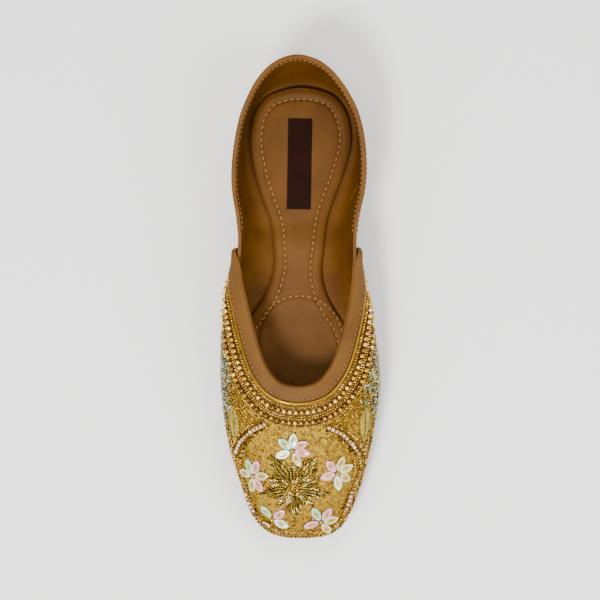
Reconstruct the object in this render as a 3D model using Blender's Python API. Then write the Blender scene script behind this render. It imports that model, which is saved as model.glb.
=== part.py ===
"""A beaded square-toe flat, the right shoe: toe to -Y, heel to +Y, big toe's side to +X, floor at z = 0."""

import math
from collections import namedtuple

import bmesh
import bpy
import numpy as np

# Driving sizes, in metres.
SHOE_LENGTH = 0.271
BALL_WIDTH = 0.0892
TOP_WIDTH = 0.0752
BACK_HEIGHT = 0.055
RIDGE_HEIGHT = 0.0440
WAIST_RIDGE_HEIGHT = 0.0475

# How far the outsole lies inside the upper's widest outline.
TOE_OVERHANG = 0.005
HEEL_OVERHANG = 0.013
BALL_OVERHANG = 0.0043
SOLE_WAIST_WIDTH = 0.0268
SOLE_HEEL_WIDTH = 0.0628
FEATHER_RIM = 0.0025

# Heights of the outsole.
SOLE_THICKNESS = 0.0035
HEEL_HEIGHT = 0.0098
TOE_SPRING = 0.0042
WAIST_LIFT = 0.0056
SOLE_EDGE_ROUND = 0.0009
BREAST_SLANT = 0.09
BREAST_DEPTH = 0.0012

# Walls, steps and clearances.
GAP = 0.0003
SEAM_GAP = 0.0007
VAMP_WALL = 0.0020
QUARTER_WALL = 0.0018
LASTING_MARGIN = 0.0072
BAND_WIDTH = 0.0086
BAND_STEP = 0.0006
BINDING_WIDTH = 0.0038
BINDING_STEP = 0.0005
WING_OVERLAP = 0.030
STEP_RUNOUT = 0.014
INSOLE_LEAD = 0.004

# The insole board with its sock.
INSOLE_THICKNESS = 0.0028
INSOLE_BALL_WIDTH = 0.0785
INSOLE_WAIST_WIDTH = 0.0280
INSOLE_HEEL_WIDTH = 0.0580
INSOLE_TOE_INSET = 0.0060
INSOLE_HEEL_INSET = 0.0008
INSOLE_CROWN = 0.0007

SOLE_LENGTH = SHOE_LENGTH - TOE_OVERHANG - HEEL_OVERHANG
SOLE_BALL_WIDTH = BALL_WIDTH - 2 * BALL_OVERHANG
TOE_END = -SHOE_LENGTH / 2
SOLE_TOE_END = TOE_END + TOE_OVERHANG

Row = namedtuple("Row", "along follows medial lateral")

# Widest outline of the upper: share of the shoe's length from the toe, the width that the row
# follows, and the shares of half that width to either side of the axis.
BELLY_ROWS = [
    Row(0.000, "ball", 0.300, 0.300),
    Row(0.018, "ball", 0.500, 0.490),
    Row(0.050, "ball", 0.622, 0.630),
    Row(0.117, "ball", 0.772, 0.770),
    Row(0.182, "ball", 0.874, 0.890),
    Row(0.246, "ball", 0.945, 0.962),
    Row(0.320, "ball", 1.000, 1.000),
    Row(0.392, "ball", 0.972, 0.998),
    Row(0.457, "ball", 0.910, 0.970),
    Row(0.522, "ball", 0.842, 0.914),
    Row(0.572, "top", 0.945, 1.010),
    Row(0.617, "top", 0.943, 0.985),
    Row(0.680, "top", 0.960, 0.985),
    Row(0.727, "top", 0.997, 0.997),
    Row(0.780, "top", 1.010, 0.985),
    Row(0.835, "top", 0.975, 0.925),
    Row(0.881, "top", 0.895, 0.840),
    Row(0.912, "top", 0.795, 0.745),
    Row(0.942, "top", 0.660, 0.630),
    Row(0.972, "top", 0.475, 0.455),
    Row(0.991, "top", 0.270, 0.260),
    Row(1.000, "top", 0.000, 0.000),
]

# Outline of sole and insole, with the same columns. Lengths are shares of the piece's own length.
SOLE_ROWS = [
    Row(0.000, "ball", 0.330, 0.290),
    Row(0.014, "ball", 0.525, 0.470),
    Row(0.040, "ball", 0.625, 0.570),
    Row(0.071, "ball", 0.715, 0.665),
    Row(0.105, "ball", 0.795, 0.755),
    Row(0.174, "ball", 0.910, 0.890),
    Row(0.225, "ball", 0.970, 0.968),
    Row(0.274, "ball", 1.000, 1.000),
    Row(0.311, "ball", 0.976, 0.995),
    Row(0.345, "ball", 0.920, 0.970),
    Row(0.379, "ball", 0.825, 0.935),
    Row(0.413, "ball", 0.715, 0.865),
    Row(0.447, "waist", 1.790, 2.300),
    Row(0.481, "waist", 1.400, 1.860),
    Row(0.516, "waist", 1.080, 1.480),
    Row(0.550, "waist", 0.910, 1.230),
    Row(0.584, "waist", 0.875, 1.095),
    Row(0.618, "waist", 0.950, 1.085),
    Row(0.687, "heel", 0.525, 0.590),
    Row(0.738, "heel", 0.660, 0.745),
    Row(0.806, "heel", 0.870, 0.915),
    Row(0.869, "heel", 1.000, 1.000),
    Row(0.909, "heel", 0.985, 0.980),
    Row(0.943, "heel", 0.905, 0.905),
    Row(0.977, "heel", 0.700, 0.700),
    Row(0.994, "heel", 0.400, 0.400),
    Row(1.000, "heel", 0.000, 0.000),
]

# Edge of the throat seen from above, with the same columns. Lengths are shares of the shoe's length.
THROAT_ROWS = [
    Row(0.322, "ball", 0.000, 0.000),
    Row(0.330, "ball", 0.230, 0.230),
    Row(0.351, "ball", 0.360, 0.360),
    Row(0.380, "ball", 0.460, 0.460),
    Row(0.444, "ball", 0.584, 0.584),
    Row(0.496, "ball", 0.668, 0.668),
    Row(0.549, "top", 0.868, 0.885),
    Row(0.606, "top", 0.900, 0.925),
    Row(0.680, "top", 0.930, 0.940),
]

# Share of the shoe's length; the heights are shares of the back's height.
Height = namedtuple("Height", "along belly top_line")
HEIGHT_ROWS = [
    Height(0.00, 0.205, 0.60),
    Height(0.20, 0.240, 0.60),
    Height(0.32, 0.280, 0.61),
    Height(0.45, 0.410, 0.635),
    Height(0.53, 0.580, 0.66),
    Height(0.60, 0.700, 0.69),
    Height(0.70, 0.860, 0.725),
    Height(0.80, 0.980, 0.785),
    Height(0.90, 1.090, 0.905),
    Height(0.96, 1.120, 0.985),
    Height(1.00, 1.130, 1.000),
]

# Share of the sole's length; lift of its underside as a share of toe spring or waist lift.
Lift = namedtuple("Lift", "along spring waist")
LIFT_ROWS = [
    Lift(0.000, 1.00, 0.0),
    Lift(0.050, 0.60, 0.0),
    Lift(0.110, 0.20, 0.0),
    Lift(0.170, 0.00, 0.0),
    Lift(0.400, 0.00, 0.0),
    Lift(0.500, 0.00, 0.28),
    Lift(0.600, 0.00, 0.76),
    Lift(0.690, 0.00, 1.0),
    Lift(1.000, 0.00, 1.0),
]
BREAST_SHARE = 0.706
SEAT_SHARE = 0.74
SEAT_START = 0.42

# Where the ribs of the upper fan out from, as shares of the shoe's length, and the part of the
# walk round the outline that lies before each.
TOE_PIVOT = TOE_END + 0.430 * SHOE_LENGTH
HEEL_PIVOT = TOE_END + 0.860 * SHOE_LENGTH
TOE_PART = 0.46
SIDE_PART = 0.83
TOE_FULLNESS = 1.45
SIDE_FULLNESS = 2.25

# Back edge of the wings, as shares of the shoe's length.
WING_TOP = 0.607
WING_FOOT = 0.617
WING_ROUND_START = 0.552
WING_ROUND_DROP = 0.42
CORNER_TRIM = 0.90
UNDER_WING = VAMP_WALL + 3 * GAP
QUARTER_START = WING_TOP - WING_OVERLAP / SHOE_LENGTH

# How finely the solids are cut: shares across a flat piece, levels up a wall, and ribs.
ACROSS = (-1.0, -0.5, 0.0, 0.5, 1.0)
END_CLEARANCE = 0.00015
SLAB_RINGS = 46
QUARTER_RINGS = 60
MARGIN_LEVELS = (-1.0, -0.6, -0.25)
WALL_SHARES = (0.0, 0.12, 0.24, 0.36, 0.48, 0.6, 0.73, 0.86, 1.0)
UPPER_SHARES = (0.10, 0.22, 0.34, 0.46, 0.58, 0.70, 0.85, 1.0)
LOWER_SHARES = (0.0, 0.2, 0.4, 0.6, 0.8, 1.0)
LOWER_PART = 0.8
CORNER_BACK = 44
VAMP_RIBS = 36
RIB_CROWDING = 0.12
FOOT_REACH = 0.35
BAND_RINGS = 88
# Across the band from its folded edge and back inside: share of its width, share of its step, and
# share of the wall.
BAND_PROFILE = (
    (0.0, 0.2, 0.25),
    (0.05, 0.8, 0.0),
    (0.33, 1.0, 0.0),
    (0.66, 1.0, 0.0),
    (1.0, 1.0, 0.0),
    (1.0, 0.0, 1.0),
    (0.5, 0.0, 1.0),
    (0.0, 0.0, 0.8),
)


def smooth_closed(points, per_span):
    """A closed curve through the points, with more points between them (centripetal spans)."""
    points = np.asarray(points, float)
    count = len(points)
    curve = []
    for i in range(count):
        p0, p1, p2, p3 = (points[(i + k) % count] for k in (-1, 0, 1, 2))
        t1 = np.linalg.norm(p1 - p0) ** 0.5
        t2 = t1 + np.linalg.norm(p2 - p1) ** 0.5
        t3 = t2 + np.linalg.norm(p3 - p2) ** 0.5
        for t in np.linspace(t1, t2, per_span, endpoint=False):
            a1 = (t1 - t) / t1 * p0 + t / t1 * p1
            a2 = (t2 - t) / (t2 - t1) * p1 + (t - t1) / (t2 - t1) * p2
            a3 = (t3 - t) / (t3 - t2) * p2 + (t - t2) / (t3 - t2) * p3
            b1 = (t2 - t) / t2 * a1 + t / t2 * a2
            b2 = (t3 - t) / (t3 - t1) * a2 + (t - t1) / (t3 - t1) * a3
            curve.append((t2 - t) / (t2 - t1) * b1 + (t - t1) / (t2 - t1) * b2)
    return np.array(curve)


def outline_points(rows, widths, start, length):
    """The rows as points in plan, down the medial side and back up the lateral one."""
    medial = [(row.medial * widths[row.follows] / 2, start + row.along * length) for row in rows]
    lateral = [(-row.lateral * widths[row.follows] / 2, start + row.along * length) for row in rows]
    return [p for p in medial if p[0] > 0] + [p for p in lateral[::-1] if p[0] <= 0]


def offset_outline(curve, distance):
    """The closed curve moved outward by the distance."""
    along = np.roll(curve, -1, axis=0) - np.roll(curve, 1, axis=0)
    along /= np.linalg.norm(along, axis=1)[:, None]
    outward = np.column_stack([along[:, 1], -along[:, 0]])
    middle = curve.mean(axis=0)
    if ((curve - middle) * outward).sum() < 0:
        outward = -outward
    return curve + outward * distance


class Outline:
    """A closed curve in plan, asked how far it lies from the axis along a rib."""

    def __init__(self, curve):
        self.curve = curve
        ahead = curve[curve[:, 1] < TOE_PIVOT + 0.002]
        angle = np.arctan2(ahead[:, 0], TOE_PIVOT - ahead[:, 1])
        order = np.argsort(angle)
        self.toe = angle[order], np.hypot(ahead[:, 0], ahead[:, 1] - TOE_PIVOT)[order]
        behind = curve[curve[:, 1] > HEEL_PIVOT - 0.002]
        angle = np.arctan2(behind[:, 0], behind[:, 1] - HEEL_PIVOT)
        order = np.argsort(angle)
        self.heel = angle[order], np.hypot(behind[:, 0], behind[:, 1] - HEEL_PIVOT)[order]
        self.sides = {}
        for side in (1, -1):
            half = curve[curve[:, 0] * side > 0]
            half = half[np.argsort(half[:, 1])]
            self.sides[side] = half[:, 1], abs(half[:, 0])

    def half_width(self, y, side):
        return float(np.interp(y, *self.sides[side]))

    def reach(self, rib):
        if rib.zone == "toe":
            return float(np.interp(rib.angle, *self.toe))
        if rib.zone == "heel":
            return float(np.interp(rib.angle, *self.heel))
        return self.half_width(rib.y, rib.side)


Rib = namedtuple("Rib", "zone y angle side dx dy")


def rib_at(walk):
    """The rib at a share of the walk round the shoe: 0 at the toe, 1 at the heel, medial positive."""
    if walk > 1:
        walk -= 2
    side = 1 if walk >= 0 else -1
    part = abs(walk)
    if part <= TOE_PART:
        angle = math.pi / 2 * part / TOE_PART
        return Rib("toe", TOE_PIVOT, side * angle, side, side * math.sin(angle), -math.cos(angle))
    if part < SIDE_PART:
        y = np.interp(part, (TOE_PART, SIDE_PART), (TOE_PIVOT, HEEL_PIVOT))
        return Rib("side", float(y), 0.0, side, side, 0.0)
    angle = math.pi / 2 * (1 - part) / (1 - SIDE_PART)
    return Rib("heel", HEEL_PIVOT, side * angle, side, side * math.sin(angle), math.cos(angle))


def walk_at(share):
    """The share of the walk at which a rib of the side crosses this share of the shoe's length."""
    y = TOE_END + share * SHOE_LENGTH
    return float(np.interp(y, (TOE_PIVOT, HEEL_PIVOT), (TOE_PART, SIDE_PART)))


def ease(value, low, high):
    t = min(max((value - low) / (high - low), 0.0), 1.0)
    return t * t * (3 - 2 * t)


def smooth_rows(along, values, at):
    """Monotone cubic through a table's column."""
    x, v = np.asarray(along, float), np.asarray(values, float)
    step = np.diff(v) / np.diff(x)
    slope = np.concatenate([[0.0], (step[1:] + step[:-1]) / 2, [0.0]])
    slope[1:-1][step[1:] * step[:-1] <= 0] = 0
    slope[1:-1] = np.clip(
        slope[1:-1],
        -3 * np.minimum(abs(step[1:]), abs(step[:-1])),
        3 * np.minimum(abs(step[1:]), abs(step[:-1])),
    )
    at = min(max(at, x[0]), x[-1])
    i = min(int(np.searchsorted(x, at, side="right")) - 1, len(x) - 2)
    h = x[i + 1] - x[i]
    t = (at - x[i]) / h
    return float(
        (2 * t**3 - 3 * t**2 + 1) * v[i]
        + (t**3 - 2 * t**2 + t) * h * slope[i]
        + (3 * t**2 - 2 * t**3) * v[i + 1]
        + (t**3 - t**2) * h * slope[i + 1]
    )


def column(rows, name):
    return [getattr(row, name) for row in rows]


def sole_share(y):
    return (y - SOLE_TOE_END) / SOLE_LENGTH


def shoe_share(y):
    return (y - TOE_END) / SHOE_LENGTH


def sole_underside(y):
    """Height of the slab's underside: toe spring, flat tread, raised waist."""
    share = sole_share(y)
    spring = smooth_rows(column(LIFT_ROWS, "along"), column(LIFT_ROWS, "spring"), share)
    waist = smooth_rows(column(LIFT_ROWS, "along"), column(LIFT_ROWS, "waist"), share)
    return spring * TOE_SPRING + waist * WAIST_LIFT


def sole_top(y):
    """Height of the outsole's upper face, on which upper and insole are set."""
    share = sole_share(y)
    spring = smooth_rows(column(LIFT_ROWS, "along"), column(LIFT_ROWS, "spring"), share)
    seat = ease(share, SEAT_START, SEAT_SHARE)
    return SOLE_THICKNESS + spring * TOE_SPRING + seat * (HEEL_HEIGHT - SOLE_THICKNESS)


SHOE_WIDTHS = {"ball": BALL_WIDTH, "top": TOP_WIDTH}
SOLE_WIDTHS = {"ball": SOLE_BALL_WIDTH, "waist": SOLE_WAIST_WIDTH, "heel": SOLE_HEEL_WIDTH}
INSOLE_WIDTHS = {"ball": INSOLE_BALL_WIDTH, "waist": INSOLE_WAIST_WIDTH, "heel": INSOLE_HEEL_WIDTH}
SPAN_POINTS = 12

SOLE_CURVE = smooth_closed(outline_points(SOLE_ROWS, SOLE_WIDTHS, SOLE_TOE_END, SOLE_LENGTH), SPAN_POINTS)
BELLY = Outline(smooth_closed(outline_points(BELLY_ROWS, SHOE_WIDTHS, TOE_END, SHOE_LENGTH), SPAN_POINTS))
FEATHER = Outline(offset_outline(SOLE_CURVE, FEATHER_RIM))
SOLE = Outline(SOLE_CURVE)
THROAT = Outline(smooth_closed(outline_points(THROAT_ROWS, SHOE_WIDTHS, TOE_END, SHOE_LENGTH), SPAN_POINTS))
INSOLE = Outline(
    smooth_closed(
        outline_points(
            SOLE_ROWS,
            INSOLE_WIDTHS,
            SOLE_TOE_END + INSOLE_TOE_INSET,
            SOLE_LENGTH - INSOLE_TOE_INSET - INSOLE_HEEL_INSET,
        ),
        SPAN_POINTS,
    )
)


def rib_sizes(rib, inset):
    """Radii and heights of a rib whose surface lies this far inside the upper's own."""
    belly = BELLY.reach(rib)
    share = shoe_share(rib.y + belly * rib.dy)
    height = BACK_HEIGHT * smooth_rows(column(HEIGHT_ROWS, "along"), column(HEIGHT_ROWS, "belly"), share)
    ridge = RIDGE_HEIGHT + (WAIST_RIDGE_HEIGHT - RIDGE_HEIGHT) * ease(share, 0.42, 0.60)
    ridge = max(ridge, height + 0.004)
    side = abs(rib.dx) ** 2 if rib.zone == "toe" else 1.0
    fullness = TOE_FULLNESS + (SIDE_FULLNESS - TOE_FULLNESS) * side
    return belly - inset, height, ridge - inset, fullness


def upper_point(walk, level, inset):
    """A point of the upper's own surface, moved in by the inset.

    level -1 is the inner edge of the lasting margin under the foot, 0 the feather edge,
    1 the widest line and 2 the ridge over the foot.
    """
    rib = rib_at(walk)
    feather = FEATHER.reach(rib)
    belly, height, ridge, fullness = rib_sizes(rib, inset)
    foot = sole_top(rib.y + feather * rib.dy) + GAP + inset
    if level <= 0:
        out = feather - inset + level * (LASTING_MARGIN - inset)
        z = sole_top(rib.y + out * rib.dy) + GAP + inset
    elif level <= 1:
        angle = level * math.pi / 2
        out = feather - inset + (belly - feather + inset) * math.sin(angle)
        z = foot + (height - foot) * (1 - math.cos(angle))
    else:
        angle = (level - 1) * math.pi / 2
        out = belly * max(math.cos(angle), 0.0) ** (2 / fullness)
        z = height + (ridge - height) * math.sin(angle)
    return np.array([rib.dx * out, rib.y + rib.dy * out, z])


def level_at_height(walk, z, inset):
    """The level at which a rib passes this height."""
    rib = rib_at(walk)
    _, height, ridge, _ = rib_sizes(rib, inset)
    foot = sole_top(rib.y + FEATHER.reach(rib) * rib.dy) + GAP + inset
    if z <= height:
        return math.acos(1 - (z - foot) / (height - foot)) * 2 / math.pi
    return 1 + math.asin(min((z - height) / (ridge - height), 1.0)) * 2 / math.pi


def throat_level(walk):
    """The level at which a rib meets the edge of the throat."""
    rib = rib_at(walk)
    belly, _, _, fullness = rib_sizes(rib, 0.0)
    reach = min(THROAT.reach(rib) / belly, 0.9999)
    return 1 + math.acos(reach ** (fullness / 2)) * 2 / math.pi


def wing_edge(side):
    """Edge of the vamp from the middle of the throat to the feather under one wing."""
    along = [(side * w, throat_level(side * w)) for w in np.linspace(0.0, walk_at(WING_ROUND_START), 80)]
    start = np.array(along[-1])
    corner_walk = side * walk_at(WING_TOP)
    corner = np.array([corner_walk, throat_level(corner_walk)])
    foot = np.array([side * walk_at(WING_FOOT), 0.0])
    turn = corner + (foot - corner) * WING_ROUND_DROP
    for t in np.linspace(0, 1, 16)[1:]:
        along.append((1 - t) ** 2 * start + 2 * t * (1 - t) * corner + t**2 * turn)
    for t in np.linspace(0, 1, 30)[1:]:
        along.append(turn + (foot - turn) * t)
    under = np.array([foot[0], -1.0])
    for t in np.linspace(0, 1, 8)[1:]:
        along.append(foot + (under - foot) * t)
    return [tuple(p) for p in along]


def step_on_surface(walk, level, direction, distance, inset=0.0, steps=8):
    """Walks over the upper from a point, straight on in the direction, and returns walk and level."""
    h_walk, h_level = 1e-4, 1e-3
    for _ in range(steps):
        here = upper_point(walk, level, inset)
        d_walk = (upper_point(walk + h_walk, level, inset) - here) / h_walk
        d_level = (upper_point(walk, level + h_level, inset) - here) / h_level
        frame = np.column_stack([d_walk, d_level])
        change, *_ = np.linalg.lstsq(frame, direction * distance / steps, rcond=None)
        move = frame @ change
        length = np.linalg.norm(move)
        if length < 1e-9:
            break
        change *= distance / steps / length
        walk, level = walk + change[0], level + change[1]
        direction = move / length
    return walk, level


def inward_curve(edge, distance):
    """The edge's curve, moved over the surface away from the opening."""
    metres = np.array([upper_point(w, l, 0.0) for w, l in edge])
    moved = []
    for i, (walk, level) in enumerate(edge):
        tangent = metres[min(i + 1, len(edge) - 1)] - metres[max(i - 1, 0)]
        tangent /= np.linalg.norm(tangent)
        here = upper_point(walk, level, 0.0)
        normal = np.cross(
            upper_point(walk + 1e-4, level, 0.0) - here, upper_point(walk, level + 1e-3, 0.0) - here
        )
        normal /= np.linalg.norm(normal)
        moved.append(step_on_surface(walk, level, np.cross(tangent, normal), distance))
    return closed_up(np.array(moved), metres, distance)


def closed_up(moved, edge_metres, distance):
    """The moved curve with the stretch that crosses itself inside a corner drawn together."""
    metres = np.array([upper_point(w, l, 0.0) for w, l in moved])
    near = np.linalg.norm(metres[:, None] - edge_metres[None], axis=2).min(axis=1)
    kept = np.flatnonzero(near > CORNER_TRIM * distance)
    kept = np.union1d(kept, [0, len(moved) - 1])
    gathered = moved.copy()
    for before, after in zip(kept, kept[1:]):
        if after - before > 1:
            gathered[before + 1 : after] = (moved[before] + moved[after]) / 2
    return gathered


def full_edge():
    """The whole edge of the vamp, from the lateral feather over the throat to the medial one."""
    lateral = wing_edge(-1)[::-1]
    medial = wing_edge(1)[1:]
    return np.array(lateral + medial)


def material(name, colour, roughness, metallic=0.0):
    made = bpy.data.materials.new(name)
    made.use_nodes = True
    shader = made.node_tree.nodes["Principled BSDF"]
    shader.inputs["Base Color"].default_value = (*colour, 1.0)
    shader.inputs["Roughness"].default_value = roughness
    shader.inputs["Metallic"].default_value = metallic
    made.diffuse_color = (*colour, 1.0)
    return made


def loft(name, rings, finish, collection):
    """A closed solid through rings with the same number of points each, capped at both ends."""
    mesh = bpy.data.meshes.new(name)
    bm = bmesh.new()
    rows = [[bm.verts.new(tuple(p)) for p in ring] for ring in rings]
    count = len(rings[0])
    for one, two in zip(rows, rows[1:]):
        for j in range(count):
            k = (j + 1) % count
            bm.faces.new((one[j], one[k], two[k], two[j]))
    bm.faces.new(rows[0][::-1])
    bm.faces.new(rows[-1])
    bmesh.ops.remove_doubles(bm, verts=bm.verts, dist=1e-6)
    bmesh.ops.triangulate(bm, faces=bm.faces, quad_method="SHORT_EDGE", ngon_method="BEAUTY")
    bmesh.ops.recalc_face_normals(bm, faces=bm.faces)
    bm.to_mesh(mesh)
    bm.free()
    mesh.shade_smooth()
    mesh.set_sharp_from_angle(angle=math.radians(40))
    mesh.materials.append(finish)
    made = bpy.data.objects.new(name, mesh)
    collection.objects.link(made)
    return made


def wall_ring(outer, inner):
    """A ring up the outer face of a wall and down its inner one."""
    return list(outer) + list(inner)[::-1]


def slab_stations(outline, count):
    """Places along the axis for the rings of a flat piece, closer together near its ends."""
    low = max(outline.sides[side][0][0] for side in (1, -1)) + END_CLEARANCE
    high = min(outline.sides[side][0][-1] for side in (1, -1)) - END_CLEARANCE
    turn = np.linspace(0, math.pi, count)
    even = turn / math.pi
    spread = 0.45 * even + 0.55 * (1 - np.cos(turn)) / 2
    return low + spread * (high - low)


def slab_ring(outline, y, slant, edge_round, bottom, top, crown=0.0):
    """One ring of a flat piece: its underside, a rounded lower edge, its side and its upper face."""
    ring = []
    ends = {}
    for side in (1, -1):
        half = outline.half_width(y, side)
        half = outline.half_width(y + slant * half * side, side)
        ends[side] = half
    centre = (ends[1] - ends[-1]) / 2
    reach = (ends[1] + ends[-1]) / 2
    lower = max(reach - edge_round, reach * 0.5)
    for share in ACROSS:
        x = centre + share * lower
        ring.append((x, y + slant * x, bottom(y + slant * x)))
    for share in (1, -1):
        x = centre + share * reach
        here = y + slant * x
        low, high = bottom(here) + edge_round, top(here)
        sides = [(x, here, low), (x, here, high)]
        if share == 1:
            ring += sides
            for inner in (0.92, 0.5, 0.0, -0.5, -0.92):
                x = centre + inner * reach
                here = y + slant * x
                ring.append((x, here, top(here) + crown * (1 - inner**4)))
        else:
            ring += sides[::-1]
    return ring


def make_outsole(shoe):
    """Unit sole: thin forefoot, smooth raised waist, and the heel's block behind a slanted breast."""
    rubber = material("brown_rubber", (0.150, 0.080, 0.045), 0.62)
    breast = SOLE_TOE_END + BREAST_SHARE * SOLE_LENGTH
    stations = [y for y in slab_stations(SOLE, SLAB_RINGS) if abs(y - breast) > 2 * BREAST_DEPTH]
    stations = sorted(stations + [breast - BREAST_DEPTH, breast])

    def bottom_of(y):
        return (lambda at: 0.0) if y >= breast else sole_underside

    rings = []
    for y in stations:
        near = math.exp(-(((y - breast) / 0.018) ** 2))
        rings.append(slab_ring(SOLE, y, BREAST_SLANT * near, SOLE_EDGE_ROUND, bottom_of(y), sole_top))
    loft("outsole", rings, rubber, shoe)


def quarter_inset(share):
    """How far the quarter lies inside the upper's own surface: under the wings, then out to it."""
    return UNDER_WING * (1 - ease(share, WING_FOOT, WING_FOOT + STEP_RUNOUT / SHOE_LENGTH))


def insole_base(y):
    """Height of the insole's underside, on the lasting margins of vamp and quarter."""
    share = shoe_share(y)
    back = QUARTER_START - INSOLE_LEAD / SHOE_LENGTH
    front = back - STEP_RUNOUT / SHOE_LENGTH
    vamp_only = VAMP_WALL
    with_quarter = max(quarter_inset(share), 0.0) + QUARTER_WALL
    stack = vamp_only + (with_quarter - vamp_only) * ease(share, front, back)
    return sole_top(y) + 3 * GAP + stack


def make_insole(shoe):
    """Insole board with its thin padded sock, an hourglass lying on the turned-under margins."""
    leather = material("tan_sock_leather", (0.250, 0.115, 0.038), 0.55)

    def top(y):
        return insole_base(y) + INSOLE_THICKNESS - INSOLE_CROWN

    rings = [
        slab_ring(INSOLE, y, 0.0, INSOLE_THICKNESS / 3, insole_base, top, INSOLE_CROWN)
        for y in slab_stations(INSOLE, SLAB_RINGS)
    ]
    loft("insole", rings, leather, shoe)


def top_line(walk):
    """Height of the quarter's top edge."""
    rib = rib_at(walk)
    share = shoe_share(rib.y + BELLY.reach(rib) * rib.dy)
    return BACK_HEIGHT * smooth_rows(column(HEIGHT_ROWS, "along"), column(HEIGHT_ROWS, "top_line"), share)


def quarter_walks(count):
    start = walk_at(QUARTER_START)
    return np.linspace(start, 2 - start, count)


def inset_at(walk):
    rib = rib_at(walk)
    return quarter_inset(shoe_share(rib.y + BELLY.reach(rib) * rib.dy))


def wall_levels(top):
    return MARGIN_LEVELS + tuple(top * share for share in WALL_SHARES)


def make_quarter(shoe):
    """Plain back of the upper, one wall from wing to wing, and the binding on its top edge."""
    gold = material("gold_foil_leather", (0.55, 0.40, 0.10), 0.38, 0.6)
    tan = material("tan_leather", (0.33, 0.165, 0.062), 0.5)
    rings = []
    for walk in quarter_walks(QUARTER_RINGS):
        inset = inset_at(walk)
        seam = top_line(walk) - BINDING_WIDTH - GAP
        top = level_at_height(walk, seam, inset)
        depth = inset + QUARTER_WALL
        top_inside = level_at_height(walk, seam, depth)
        outer = [upper_point(walk, level, inset) for level in wall_levels(top)]
        inner = [upper_point(walk, level, depth) for level in wall_levels(top_inside)]
        rings.append(wall_ring(outer, inner))
    loft("upper_quarter", rings, gold, shoe)

    rings = []
    for walk in quarter_walks(QUARTER_RINGS):
        inset = inset_at(walk)
        edge = BINDING_STEP * (1 - inset / UNDER_WING)
        profile = (
            (0.0, -edge),
            (0.5, -edge),
            (0.85, -edge * 0.7),
            (1.0, QUARTER_WALL / 2),
            (0.85, QUARTER_WALL + edge * 0.3),
            (0.5, QUARTER_WALL + edge * 0.6),
            (0.0, QUARTER_WALL + edge * 0.6),
        )
        ring = []
        for share, depth in profile:
            z = top_line(walk) - BINDING_WIDTH * (1 - share)
            ring.append(upper_point(walk, level_at_height(walk, z, inset + depth), inset + depth))
        rings.append(ring)
    loft("quarter_binding", rings, tan, shoe)


def make_vamp(shoe):
    """Front of the upper with its square toe, and the broad band along the throat and wings."""
    beaded = material("beaded_gold_cloth", (0.50, 0.34, 0.09), 0.45, 0.5)
    tan = material("tan_band_leather", (0.36, 0.18, 0.068), 0.48)
    edge = full_edge()
    border = np.array(inward_curve(edge, BAND_WIDTH + SEAM_GAP))
    border[:, 1] = np.maximum(border[:, 1], -1.0)
    corners = CORNER_BACK, len(border) - 1 - CORNER_BACK
    backs = {-1: border[: corners[0] + 1], 1: border[corners[1] :][::-1]}
    throat = border[corners[0] : corners[1] + 1]
    rings = []
    for even in np.linspace(-1, 1, 2 * VAMP_RIBS + 1):
        place = even + RIB_CROWDING * math.sin(math.pi * even)
        side = 1 if place >= 0 else -1
        back = backs[side]
        corner_walk = back[-1][0]
        walk = abs(place) * corner_walk
        crest = float(np.interp(walk, throat[:, 0], throat[:, 1]))
        split = min(1.0, LOWER_PART * crest)
        levels = MARGIN_LEVELS + tuple(split * share for share in LOWER_SHARES)
        levels += tuple(split + (crest - split) * share for share in UPPER_SHARES)
        order = np.argsort(back[:, 1])
        pull = max(0.0, 1 - (1 - abs(place)) / FOOT_REACH) ** 2
        points = []
        for level in levels:
            at_back = float(np.interp(level, back[order, 1], back[order, 0]))
            points.append((walk + pull * (at_back - corner_walk), level))
        outer = [upper_point(w, level, 0.0) for w, level in points]
        inner = [upper_point(w, level, VAMP_WALL) for w, level in points]
        rings.append(wall_ring(outer, inner))
    loft("upper_vamp", rings, beaded, shoe)

    border = np.array(inward_curve(edge, BAND_WIDTH))
    border[:, 1] = np.maximum(border[:, 1], -1.0)
    kept = np.linspace(0, len(edge) - 1, BAND_RINGS).round().astype(int)
    rings = []
    for (walk, level), (walk_in, level_in) in zip(edge[kept], border[kept]):
        ring = []
        for share, proud, depth in BAND_PROFILE:
            at, up = walk + share * (walk_in - walk), level + share * (level_in - level)
            raised = BAND_STEP * ease(up, 0.02, 0.4)
            ring.append(upper_point(at, up, depth * VAMP_WALL - proud * raised))
        rings.append(ring)
    loft("vamp_band", rings, tan, shoe)


def main():
    for old in list(bpy.data.objects):
        bpy.data.objects.remove(old)
    shoe = bpy.data.collections.new("beaded_flat")
    bpy.context.scene.collection.children.link(shoe)
    make_outsole(shoe)
    make_insole(shoe)
    make_quarter(shoe)
    make_vamp(shoe)


if __name__ == "__main__":
    main()
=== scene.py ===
"""Looks of the beaded square-toe flat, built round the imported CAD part. Lengths are in metres."""

import math
from collections import namedtuple

import bpy
import numpy as np
from mathutils import Matrix, Vector


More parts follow.
